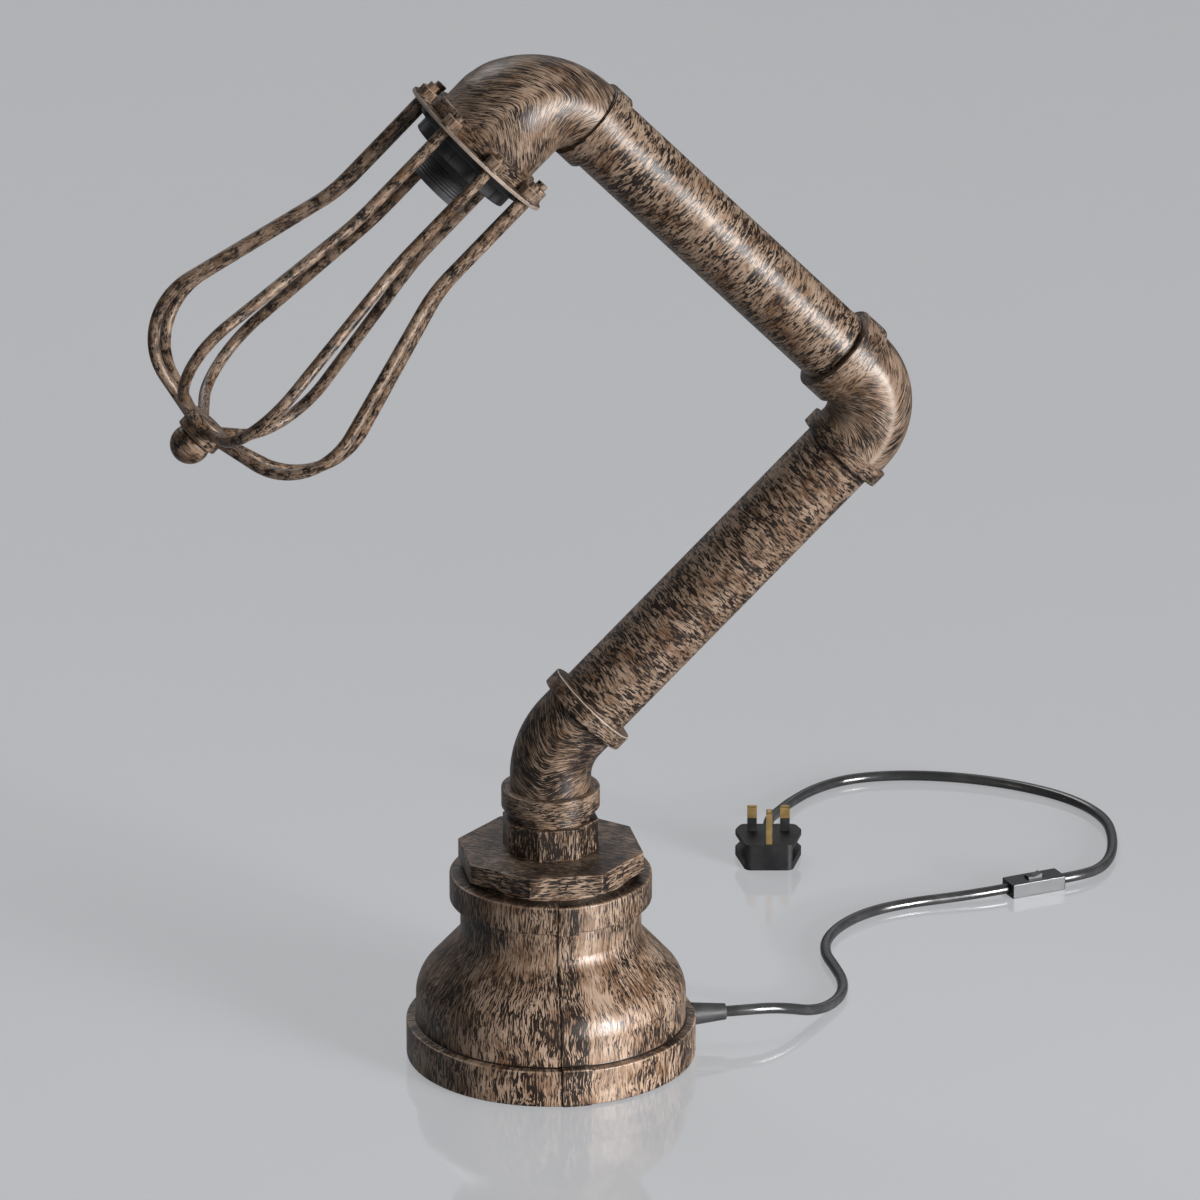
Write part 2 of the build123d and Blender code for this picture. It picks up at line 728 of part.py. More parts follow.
export_step(head_elbow.part, "parts/head_elbow.step")

# Cage plate on the head elbow's mouth
outlet_band_radius = head_outlet_radius + head_outlet_band_stand_off
cage_mouth_radius = outlet_band_radius + nut_radius + wire_gap
plate_radius = cage_mouth_radius + wire_radius + plate_margin
holder_base_radius = cage_mouth_radius - wire_radius - holder_wire_gap
skirt_radius = holder_base_radius - holder_flange
insulator_radius = shell_bore_radius + shell_wall + seat_clearance + insulator_wall
holder_screw_circle_radius = (insulator_radius + skirt_radius - skirt_wall) / 2
lead_hole_radius = cord_radius + lead_hole_allowance
cage_line = outlet_line.offset(head_outlet_reach + plate_thickness)
with BuildPart() as cage_plate:
    with BuildSketch(outlet_line.offset(head_outlet_reach)):
        Circle(plate_radius)
        Circle(lead_hole_radius, mode=Mode.SUBTRACT)
        with PolarLocations(cage_mouth_radius, wire_count, wire_facing):
            Circle(wire_radius + seat_clearance, mode=Mode.SUBTRACT)
        with PolarLocations(head_outlet_radius, plate_screw_count):
            Circle(plate_screw_radius + seat_clearance, mode=Mode.SUBTRACT)
        with PolarLocations(holder_screw_circle_radius, holder_screw_count):
            Circle(holder_screw_radius + seat_clearance, mode=Mode.SUBTRACT)
    extrude(amount=plate_thickness)
    chamfer(cage_plate.edges().filter_by(GeomType.CIRCLE).group_by(SortBy.RADIUS)[-1], length=plate_edge)
    with BuildSketch(cage_line):
        with PolarLocations(head_outlet_radius, plate_screw_count):
            Circle(plate_screw_head_radius + seat_clearance)
    extrude(amount=plate_screw_radius - plate_screw_head_radius, taper=45, mode=Mode.SUBTRACT)
cage_plate.part.label = "cage_plate"
export_step(cage_plate.part, "parts/cage_plate.step")

with BuildPart() as plate_screws:
    with BuildSketch(cage_line):
        with PolarLocations(head_outlet_radius, plate_screw_count):
            Circle(plate_screw_head_radius)
    extrude(amount=plate_screw_radius - plate_screw_head_radius, taper=45)
    with BuildSketch(cage_line):
        with PolarLocations(head_outlet_radius, plate_screw_count):
            Circle(plate_screw_radius)
    extrude(amount=-plate_screw_length)
plate_screws.part.label = "plate_screws"
export_step(plate_screws.part, "parts/plate_screws.step")

# Washers and nuts on the wires' threaded ends, behind the plate
with BuildPart() as cage_washers:
    with BuildSketch(outlet_line.offset(head_outlet_reach)):
        with PolarLocations(cage_mouth_radius, wire_count, wire_facing):
            Circle(nut_radius)
            Circle(wire_radius + seat_clearance, mode=Mode.SUBTRACT)
    extrude(amount=-washer_thickness)
cage_washers.part.label = "cage_washers"
export_step(cage_washers.part, "parts/cage_washers.step")

with BuildPart() as cage_nuts:
    with BuildSketch(outlet_line.offset(head_outlet_reach - washer_thickness)):
        with PolarLocations(cage_mouth_radius, wire_count, wire_facing):
            RegularPolygon(nut_radius, 6)
            Circle(wire_radius + seat_clearance, mode=Mode.SUBTRACT)
    extrude(amount=-nut_height)
cage_nuts.part.label = "cage_nuts"
export_step(cage_nuts.part, "parts/cage_nuts.step")

# Cage wires: straight from the plate, flared to the belly, turned in to the hub
wire_end_radius = (wire_radius + seat_clearance + hub_web) / sin(pi / wire_count)
hub_radius = wire_end_radius + hub_engagement
wire_end_height = cage_straight + cage_flare_height + cage_roof_rise
wire_points = [
    (cage_mouth_radius, -plate_thickness - stud_length),
    (cage_mouth_radius, cage_straight),
    (cage_mouth_radius + cage_flare, cage_straight + cage_flare_height),
    (wire_end_radius, wire_end_height),
]
wire_rounds = [cage_flare_round, cage_belly_round]
wire_planes = []
for wire_index in range(wire_count):
    facing = radians(wire_facing + 360 / wire_count * wire_index)
    across = cage_line.x_dir * cos(facing) + cage_line.y_dir * sin(facing)
    wire_planes.append(Plane(origin=cage_line.origin, x_dir=across, z_dir=across.cross(cage_dir)))
for wire_index, wire_plane in enumerate(wire_planes):
    with BuildPart() as cage_wire:
        with BuildLine(wire_plane) as wire_run:
            FilletPolyline(*wire_points, radius=wire_rounds)
        with BuildSketch(Plane(origin=wire_run.line @ 0, x_dir=wire_plane.x_dir, z_dir=wire_run.line % 0)):
            Circle(wire_radius)
        sweep(path=wire_run.line)
    wire_name = f"cage_wire_{wire_index + 1}"
    cage_wire.part.label = wire_name
    export_step(cage_wire.part, f"parts/{wire_name}.step")

# Hub where the wires end, and the ball screwed into it
hub_height_start = wire_end_height - hub_below
hub_top = hub_height_start + hub_height
roof_run = cage_mouth_radius + cage_flare - wire_end_radius
roof_length = (roof_run**2 + cage_roof_rise**2) ** 0.5
with BuildPart() as cage_hub:
    with BuildSketch(cage_line.offset(hub_height_start)):
        Circle(hub_radius)
    extrude(amount=hub_height)
    chamfer(cage_hub.edges(), length=hub_edge)
    for wire_plane in wire_planes:
        roof_out = (wire_plane.x_dir * roof_run - cage_dir * cage_roof_rise) / roof_length
        wire_tip = wire_plane.origin + wire_plane.x_dir * wire_end_radius + cage_dir * wire_end_height
        with BuildSketch(Plane(origin=wire_tip, z_dir=roof_out)):
            Circle(wire_radius + seat_clearance)
        extrude(amount=hub_engagement + wire_radius, mode=Mode.SUBTRACT)
    with BuildSketch(cage_line.offset(hub_top)):
        Circle(ball_stem_radius + seat_clearance)
    extrude(amount=-ball_stem_length, mode=Mode.SUBTRACT)
cage_hub.part.label = "cage_hub"
export_step(cage_hub.part, "parts/cage_hub.step")

ball_plane = cage_line.offset(hub_top + ball_seat)
with BuildPart() as ball_finial:
    with Locations(ball_plane):
        Sphere(ball_radius)
    split(bisect_by=cage_line.offset(hub_top), keep=Keep.TOP)
    with BuildSketch(cage_line.offset(hub_top)):
        Circle(ball_stem_radius)
    extrude(amount=-ball_stem_length)
ball_finial.part.label = "ball_finial"
export_step(ball_finial.part, "parts/ball_finial.step")

# Lampholder: base disc screwed to the plate
holder_line = cage_line.offset(holder_base_thickness)
with BuildPart() as holder_base:
    with BuildSketch(cage_line):
        Circle(holder_base_radius)
        Circle(lead_hole_radius, mode=Mode.SUBTRACT)
        with PolarLocations(holder_screw_circle_radius, holder_screw_count):
            Circle(holder_screw_radius + seat_clearance, mode=Mode.SUBTRACT)
    extrude(amount=holder_base_thickness)
    chamfer(holder_base.edges().filter_by(GeomType.CIRCLE).group_by(SortBy.RADIUS)[-1], length=holder_base_edge)
holder_base.part.label = "holder_base"
export_step(holder_base.part, "parts/holder_base.step")

with BuildPart() as holder_screws:
    with BuildSketch(holder_line):
        with PolarLocations(holder_screw_circle_radius, holder_screw_count):
            Circle(holder_screw_head_radius)
    extrude(amount=holder_screw_head_height)
    with BuildSketch(holder_line):
        with PolarLocations(holder_screw_circle_radius, holder_screw_count):
            Circle(holder_screw_radius)
    extrude(amount=-holder_base_thickness - plate_thickness - holder_screw_reach)
holder_screws.part.label = "holder_screws"
export_step(holder_screws.part, "parts/holder_screws.step")

# Holder cover: ribbed skirt and threaded barrel, drawn as half a section
barrel_radius = insulator_radius + seat_clearance + barrel_wall
barrel_root_radius = barrel_radius - barrel_thread_depth
barrel_end = skirt_height + barrel_length
thread_start = barrel_end - barrel_plain_tip - barrel_thread_pitch * barrel_thread_turns
section_plane = Plane(origin=holder_line.origin, x_dir=holder_line.x_dir, z_dir=holder_line.x_dir.cross(cage_dir))
holder_axis = Axis(holder_line.origin, cage_dir)
cover_outline = [
    (insulator_radius + seat_clearance, skirt_height - skirt_roof),
    (skirt_radius - skirt_wall, skirt_height - skirt_roof),
    (skirt_radius - skirt_wall, 0),
    (skirt_radius, 0),
    (skirt_radius, skirt_height),
    (barrel_radius, skirt_height),
    (barrel_radius, thread_start),
]
for turn_index in range(barrel_thread_turns):
    turn_height = thread_start + barrel_thread_pitch * turn_index
    cover_outline.append((barrel_root_radius, turn_height + barrel_thread_pitch / 2))
    cover_outline.append((barrel_radius, turn_height + barrel_thread_pitch))
cover_outline.append((barrel_radius, barrel_end))
cover_outline.append((insulator_radius + seat_clearance, barrel_end))
with BuildPart() as holder_cover:
    with BuildSketch(section_plane):
        with BuildLine():
            Polyline(*cover_outline, close=True)
        make_face()
    revolve(axis=holder_axis)
    fillet(
        holder_cover.edges().filter_by(GeomType.CIRCLE).group_by(SortBy.RADIUS)[-1].sort_by(holder_axis)[-1],
        radius=skirt_round,
    )
    with BuildSketch(holder_line):
        with PolarLocations(skirt_radius - skirt_groove_depth, skirt_groove_count):
            Rectangle(
                skirt_groove_depth + cut_overrun,
                skirt_groove_width,
                align=(Align.MIN, Align.CENTER),
            )
    extrude(amount=skirt_height, mode=Mode.SUBTRACT)
holder_cover.part.label = "holder_cover"
export_step(holder_cover.part, "parts/holder_cover.step")

# Insulator with a stepped pocket for the screw shell and the centre contact
insulator_length = barrel_end - insulator_recess
shell_start = insulator_floor + shell_step
with BuildPart() as holder_insulator:
    with BuildSketch(holder_line):
        Circle(insulator_radius)
    extrude(amount=insulator_length)
    with BuildSketch(holder_line.offset(insulator_floor)):
        Circle(contact_pocket_radius)
    extrude(amount=insulator_length - insulator_floor, mode=Mode.SUBTRACT)
    with BuildSketch(holder_line.offset(shell_start)):
        Circle(shell_bore_radius + shell_wall + seat_clearance)
    extrude(amount=insulator_length - shell_start, mode=Mode.SUBTRACT)
holder_insulator.part.label = "holder_insulator"
export_step(holder_insulator.part, "parts/holder_insulator.step")

with BuildPart() as screw_shell:
    with BuildSketch(holder_line.offset(shell_start)):
        Circle(shell_bore_radius + shell_wall)
        Circle(shell_bore_radius, mode=Mode.SUBTRACT)
    extrude(amount=shell_length)
screw_shell.part.label = "screw_shell"
export_step(screw_shell.part, "parts/screw_shell.step")

with BuildPart() as centre_contact:
    with BuildSketch(holder_line.offset(insulator_floor)):
        Circle(contact_radius)
    extrude(amount=contact_thickness)
centre_contact.part.label = "centre_contact"
export_step(centre_contact.part, "parts/centre_contact.step")

# Lead in the head, ending at the insulator
with BuildPart() as head_flex:
    with BuildLine() as head_run:
        FilletPolyline(
            head_corner - upper_dir * (upper_pipe_stop - swivel_end_gap),
            head_corner,
            holder_line.origin,
            radius=lead_bend_radius,
        )
    with BuildSketch(Plane(origin=head_run.line @ 0, z_dir=head_run.line % 0)):
        Circle(cord_radius)
    sweep(path=head_run.line)
head_flex.part.label = "head_flex"
export_step(head_flex.part, "parts/head_flex.step")

# Free cord, from the gland's tip to the switch and from the switch to the plug, as laid on the surface
switch_route = [
    (113.0, 0.0, 18.5),
    (126.5, 0.0, 18.5),
    (141.5, 2.5, 17.6),
    (157.0, 8.0, 13.8),
    (172.0, 16.5, 7.4),
    (187.0, 29.5, 3.8),
    (199.5, 47.0, 3.5),
    (205.5, 70.0, 3.5),
    (205.0, 95.0, 3.5),
    (203.5, 119.0, 3.5),
    (210.0, 143.0, 3.5),
    (226.0, 166.0, 3.5),
    (249.0, 184.0, 3.5),
    (278.0, 193.5, 3.5),
    (308.0, 196.0, 4.0),
    (330.663, 198.426, 5.0),
    (346.146, 202.459, 5.0),
]
plug_route = [
    (384.854, 212.541, 5.0),
    (401.305, 216.826, 5.0),
    (416.5, 228.0, 4.0),
    (429.0, 249.0, 3.5),
    (438.5, 281.0, 3.5),
    (442.5, 317.0, 3.5),
    (431.0, 352.5, 3.5),
    (405.0, 383.5, 3.5),
    (368.0, 408.5, 3.5),
    (327.0, 422.5, 3.5),
    (288.0, 423.5, 3.5),
    (259.0, 409.0, 3.5),
    (237.0, 386.5, 3.6),
    (223.0, 362.5, 6.4),
    (211.309, 341.74, 9.15),
    (207.998, 324.047, 9.15),
]
corner_share = 0.45


def cord_rounds(route):
    """Bend radius at each inner point of a route: as large as its two straight runs allow."""
    points = [Vector(*point) for point in route]
    rounds = []
    for before, here, after in zip(points, points[1:], points[2:]):
        shorter = min((here - before).length, (after - here).length)
        turn = radians((here - before).get_angle(after - here))
        rounds.append(corner_share * shorter / tan(turn / 2))
    return rounds


switch_route_rounds = cord_rounds(switch_route)
plug_route_rounds = cord_rounds(plug_route)
with BuildPart() as flex_to_switch:
    with BuildLine() as switch_run:
        FilletPolyline(*switch_route, radius=switch_route_rounds)
    with BuildSketch(Plane(origin=switch_run.line @ 0, z_dir=switch_run.line % 0)):
        Circle(cord_radius)
    sweep(path=switch_run.line)
flex_to_switch.part.label = "flex_to_switch"
export_step(flex_to_switch.part, "parts/flex_to_switch.step")

with BuildPart() as flex_to_plug:
    with BuildLine() as plug_run:
        FilletPolyline(*plug_route, radius=plug_route_rounds)
    with BuildSketch(Plane(origin=plug_run.line @ 0, z_dir=plug_run.line % 0)):
        Circle(cord_radius)
    sweep(path=plug_run.line)
flex_to_plug.part.label = "flex_to_plug"
export_step(flex_to_plug.part, "parts/flex_to_plug.step")

cord_section = pi * cord_radius**2
print("cord radii", [round(value, 1) for value in switch_route_rounds + plug_route_rounds])
switch_run_length = switch_run.wire().length
plug_run_length = plug_run.wire().length
print("cord lengths", round(switch_run_length, 1), round(plug_run_length, 1))
print("volume over section times length", round(flex_to_switch.part.volume / cord_section / switch_run_length, 4))
print("volume over section times length", round(flex_to_plug.part.volume / cord_section / plug_run_length, 4))

# In-line switch on the cord
switch_along = Vector(cos(radians(switch_facing)), sin(radians(switch_facing)), 0)
switch_across = Vector(-sin(radians(switch_facing)), cos(radians(switch_facing)), 0)
switch_place = Vector(switch_place_x, switch_place_y, 0)
switch_plane = Plane(origin=switch_place, x_dir=switch_along, z_dir=(0, 0, 1))
switch_top = switch_lower_height + switch_upper_height
window_length = rocker_length + 2 * rocker_end_gap
window_width = rocker_width + 2 * rocker_side_gap
pin_height = switch_top - pin_depth
pin_length = window_width + 2 * pin_bearing
pin_plane = Plane(
    origin=switch_place + Vector(0, 0, pin_height),
    x_dir=switch_along,
    z_dir=switch_across,
)
with BuildPart() as switch_lower_shell:
    with BuildSketch(switch_plane):
        RectangleRounded(switch_length, switch_width, switch_corner_round)
    extrude(amount=switch_lower_height)
    fillet(switch_lower_shell.faces().sort_by(Axis.Z)[0].edges(), radius=switch_edge_round)
    with BuildSketch(switch_plane.offset(switch_floor)):
        Rectangle(switch_pocket_length, switch_pocket_width)
    extrude(amount=switch_lower_height - switch_floor, mode=Mode.SUBTRACT)
    with BuildSketch(switch_plane):
        with Locations((-switch_screw_offset, 0), (switch_screw_offset, 0)):
            Circle(switch_screw_head_radius + seat_clearance)
    extrude(amount=switch_screw_head_height, mode=Mode.SUBTRACT)
    with BuildSketch(switch_plane):
        with Locations((-switch_screw_offset, 0), (switch_screw_offset, 0)):
            Circle(switch_screw_radius + seat_clearance)
    extrude(amount=switch_lower_height, mode=Mode.SUBTRACT)
switch_lower_shell.part.label = "switch_lower_shell"
export_step(switch_lower_shell.part, "parts/switch_lower_shell.step")

with BuildPart() as switch_upper_shell:
    with BuildSketch(switch_plane.offset(switch_lower_height)):
        RectangleRounded(switch_length, switch_width, switch_corner_round)
    extrude(amount=switch_upper_height)
    fillet(switch_upper_shell.faces().sort_by(Axis.Z)[-1].edges(), radius=switch_edge_round)
    with BuildSketch(switch_plane.offset(switch_lower_height)):
        Rectangle(window_length, window_width)
    extrude(amount=switch_upper_height, mode=Mode.SUBTRACT)
    with BuildSketch(switch_plane.offset(switch_lower_height)):
        with Locations((-switch_screw_offset, 0), (switch_screw_offset, 0)):
            Circle(switch_screw_radius + seat_clearance)
    extrude(amount=switch_screw_length - switch_lower_height, mode=Mode.SUBTRACT)
    with BuildSketch(pin_plane.offset(-pin_length / 2)):
        Circle(pin_radius + seat_clearance)
    extrude(amount=pin_length, mode=Mode.SUBTRACT)
switch_upper_shell.part.label = "switch_upper_shell"
export_step(switch_upper_shell.part, "parts/switch_upper_shell.step")

with BuildPart() as switch_contacts:
    with BuildSketch(switch_plane.offset(switch_floor)):
        with Locations((-contact_strip_offset, 0), (contact_strip_offset, 0)):
            Rectangle(contact_strip_length, contact_strip_width)
    extrude(amount=contact_strip_height)
switch_contacts.part.label = "switch_contacts"
export_step(switch_contacts.part, "parts/switch_contacts.step")

with BuildPart() as switch_screws:
    with BuildSketch(switch_plane):
        with Locations((-switch_screw_offset, 0), (switch_screw_offset, 0)):
            Circle(switch_screw_radius)
    extrude(amount=switch_screw_length)
    with BuildSketch(switch_plane):
        with Locations((-switch_screw_offset, 0), (switch_screw_offset, 0)):
            Circle(switch_screw_head_radius)
    extrude(amount=switch_screw_head_height)
switch_screws.part.label = "switch_screws"
export_step(switch_screws.part, "parts/switch_screws.step")

with BuildPart() as rocker_pin:
    with BuildSketch(pin_plane.offset(-pin_length / 2)):
        Circle(pin_radius)
    extrude(amount=pin_length)
rocker_pin.part.label = "rocker_pin"
export_step(rocker_pin.part, "parts/rocker_pin.step")

# Rocker, tipped down on the side away from the plug
rocker_plane = Plane(
    origin=switch_place + Vector(0, 0, pin_height),
    x_dir=switch_along * cos(radians(rocker_tilt)) + Vector(0, 0, sin(radians(rocker_tilt))),
    z_dir=-switch_across,
)
rocker_outline = [
    (-rocker_length / 2, -rocker_below),
    (rocker_length / 2, -rocker_below),
    (rocker_length / 2, rocker_crown),
    (0, rocker_crown - rocker_dip),
    (-rocker_length / 2, rocker_crown),
]
with BuildPart() as switch_rocker:
    with BuildSketch(rocker_plane.offset(-rocker_width / 2)):
        with BuildLine():
            Polyline(*rocker_outline, close=True)
        make_face()
    extrude(amount=rocker_width)
    with BuildSketch(rocker_plane.offset(-rocker_width / 2)):
        Circle(pin_radius + swivel_clearance)
    extrude(amount=rocker_width, mode=Mode.SUBTRACT)
switch_rocker.part.label = "switch_rocker"
export_step(switch_rocker.part, "parts/switch_rocker.step")

# Plug, lying on its back with its pins up
plug_away = Vector(cos(radians(plug_facing)), sin(radians(plug_facing)), 0)
plug_side = Vector(sin(radians(plug_facing)), -cos(radians(plug_facing)), 0)
plug_place = Vector(plug_place_x, plug_place_y, 0)
plug_plane = Plane(origin=plug_place, x_dir=plug_side, z_dir=(0, 0, 1))
plug_back_plane = Plane(origin=plug_place + plug_away * plug_depth, x_dir=plug_side, z_dir=plug_away)
plug_outline = [
    (-plug_front_width / 2, 0),
    (plug_front_width / 2, 0),
    (plug_wide_width / 2, plug_wide_depth),
    (plug_back_width / 2, plug_depth),
    (-plug_back_width / 2, plug_depth),
    (-plug_wide_width / 2, plug_wide_depth),
]
line_row = earth_pin_inset + pin_row_step
waist_start = plug_height - plug_flange_height - plug_waist_height
with BuildPart() as plug_body:
    with BuildSketch(plug_plane):
        with BuildLine():
            FilletPolyline(*plug_outline, radius=plug_round, close=True)
        make_face()
    extrude(amount=plug_height)
    fillet(plug_body.faces().sort_by(Axis.Z)[-1].edges(), radius=plug_edge_round)
    with BuildSketch(plug_plane.offset(waist_start)):
        with Locations((0, plug_depth / 2)):
            Rectangle(plug_wide_width + cut_overrun, plug_depth + cut_overrun)
            Rectangle(plug_front_width, plug_depth + cut_overrun, mode=Mode.SUBTRACT)
    extrude(amount=plug_waist_height, mode=Mode.SUBTRACT)
    with BuildSketch(plug_back_plane):
        with Locations((0, -plug_height / 2)):
            Circle(plug_boot_root_radius)
    with BuildSketch(plug_back_plane.offset(plug_boot_length)):
        with Locations((0, -plug_height / 2)):
            Circle(plug_boot_tip_radius)
    loft()
    with BuildSketch(plug_plane.offset(plug_height)):
        with Locations((0, earth_pin_inset)):
            Rectangle(earth_pin_width + 2 * seat_clearance, earth_pin_depth + 2 * seat_clearance)
        with Locations((-pin_spacing / 2, line_row), (pin_spacing / 2, line_row)):
            Rectangle(line_pin_width + 2 * seat_clearance, line_pin_depth + 2 * seat_clearance)
    extrude(amount=-pin_root, mode=Mode.SUBTRACT)
plug_body.part.label = "plug_body"
export_step(plug_body.part, "parts/plug_body.step")

with BuildPart() as plug_earth_pin:
    with BuildSketch(plug_plane.offset(plug_height - pin_root)):
        with Locations((0, earth_pin_inset)):
            Rectangle(earth_pin_width, earth_pin_depth)
    extrude(amount=pin_root + earth_pin_length)
    chamfer(plug_earth_pin.faces().sort_by(Axis.Z)[-1].edges(), length=pin_tip_edge)
plug_earth_pin.part.label = "plug_earth_pin"
export_step(plug_earth_pin.part, "parts/plug_earth_pin.step")

with BuildPart() as plug_line_pins:
    with BuildSketch(plug_plane.offset(plug_height + sleeve_length)):
        with Locations((-pin_spacing / 2, line_row), (pin_spacing / 2, line_row)):
            Rectangle(line_pin_width, line_pin_depth)
    extrude(amount=line_pin_length - sleeve_length)
    chamfer(plug_line_pins.faces().group_by(Axis.Z)[-1].edges(), length=pin_tip_edge)
    with BuildSketch(plug_plane.offset(plug_height - pin_root)):
        with Locations((-pin_spacing / 2, line_row), (pin_spacing / 2, line_row)):
            Rectangle(line_pin_width - 2 * sleeve_wall, line_pin_depth - 2 * sleeve_wall)
    extrude(amount=pin_root + sleeve_length)
plug_line_pins.part.label = "plug_line_pins"
export_step(plug_line_pins.part, "parts/plug_line_pins.step")

with BuildPart() as plug_pin_sleeves:
    with BuildSketch(plug_plane.offset(plug_height - pin_root)):
        with Locations((-pin_spacing / 2, line_row), (pin_spacing / 2, line_row)):
            Rectangle(line_pin_width, line_pin_depth)
            Rectangle(
                line_pin_width - 2 * sleeve_wall + 2 * seat_clearance,
                line_pin_depth - 2 * sleeve_wall + 2 * seat_clearance,
                mode=Mode.SUBTRACT,
            )
    extrude(amount=pin_root + sleeve_length)
plug_pin_sleeves.part.label = "plug_pin_sleeves"
export_step(plug_pin_sleeves.part, "parts/plug_pin_sleeves.step")
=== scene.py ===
"""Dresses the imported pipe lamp.

The bell base, the fittings, the pipes, the cage and the ball are turned, bent and bevelled afresh and wear
aged bronze; the lampholder, the switch and the plug are dressed as black mouldings; the cord lies on the floor.
Metres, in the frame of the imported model.
"""

import logging
import math
from dataclasses import dataclass, field
from enum import Enum
from typing import Mapping, Sequence

import bmesh
import bpy
from mathutils import Matrix, Vector

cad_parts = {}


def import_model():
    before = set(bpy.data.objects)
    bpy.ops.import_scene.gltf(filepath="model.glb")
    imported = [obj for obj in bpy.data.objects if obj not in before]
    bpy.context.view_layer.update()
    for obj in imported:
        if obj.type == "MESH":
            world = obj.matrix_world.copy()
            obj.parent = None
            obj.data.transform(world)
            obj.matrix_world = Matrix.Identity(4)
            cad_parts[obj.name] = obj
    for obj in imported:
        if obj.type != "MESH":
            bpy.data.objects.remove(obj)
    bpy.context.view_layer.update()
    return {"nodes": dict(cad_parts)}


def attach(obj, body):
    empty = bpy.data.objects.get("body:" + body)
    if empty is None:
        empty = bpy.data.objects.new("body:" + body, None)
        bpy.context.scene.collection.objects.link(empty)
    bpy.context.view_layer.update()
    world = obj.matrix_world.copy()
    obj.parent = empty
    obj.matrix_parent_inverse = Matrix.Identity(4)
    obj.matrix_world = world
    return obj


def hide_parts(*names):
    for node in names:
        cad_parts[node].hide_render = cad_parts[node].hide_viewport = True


log = logging.getLogger("pipe_lamp")
Colour = tuple[float, float, float]
Spot = tuple[float, float, float]
Span = tuple[float, float]
Socket = bpy.types.NodeSocket
Material = bpy.types.Material
Vert = bmesh.types.BMVert
Edge = bmesh.types.BMEdge

HALF = math.sqrt(0.5)
ORIGIN = Vector((0, 0, 0))
UP = Vector((0, 0, 1))
LOWER_WAY = Vector((HALF, 0, HALF))
UPPER_WAY = Vector((-HALF, 0, HALF))
CAGE_WAY = Vector((-HALF, 0, -HALF))
BOTTOM_CORNER = Vector((0, 0, 0.2075))
MIDDLE_CORNER = Vector((0.2162333, 0, 0.4237333))
HEAD_CORNER = Vector((-0.0034651, 0, 0.643431))

FIXED_BORE = 0.0242  # hole of a fitting that holds its pipe
SWIVEL_BORE = 0.02423  # hole of a fitting that turns on its pipe
ELBOW_SQUEEZE = 0.08  # width of a brush mark on an elbow as a share of its length
TOUCHING = 1e-6  # measures nearer than this are one
MERGED = 1e-7  # points nearer than this are one
SQUARE = 0.99  # a face whose normal runs this far along the axis is square to it
CREASE = math.radians(40)  # edges that turn more than this stay sharp
WIDE_ROUND = 0.005  # a larger round takes more faces


class Lay(Enum):
    """Which way the brush marks run over a piece."""

    ROUND = "round the axis"
    ALONG = "along the axis"


class Body(str, Enum):
    """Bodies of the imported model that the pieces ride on."""

    BASE = "base"
    LOWER_ARM = "lower_arm"
    UPPER_ARM = "upper_arm"
    HEAD = "head"


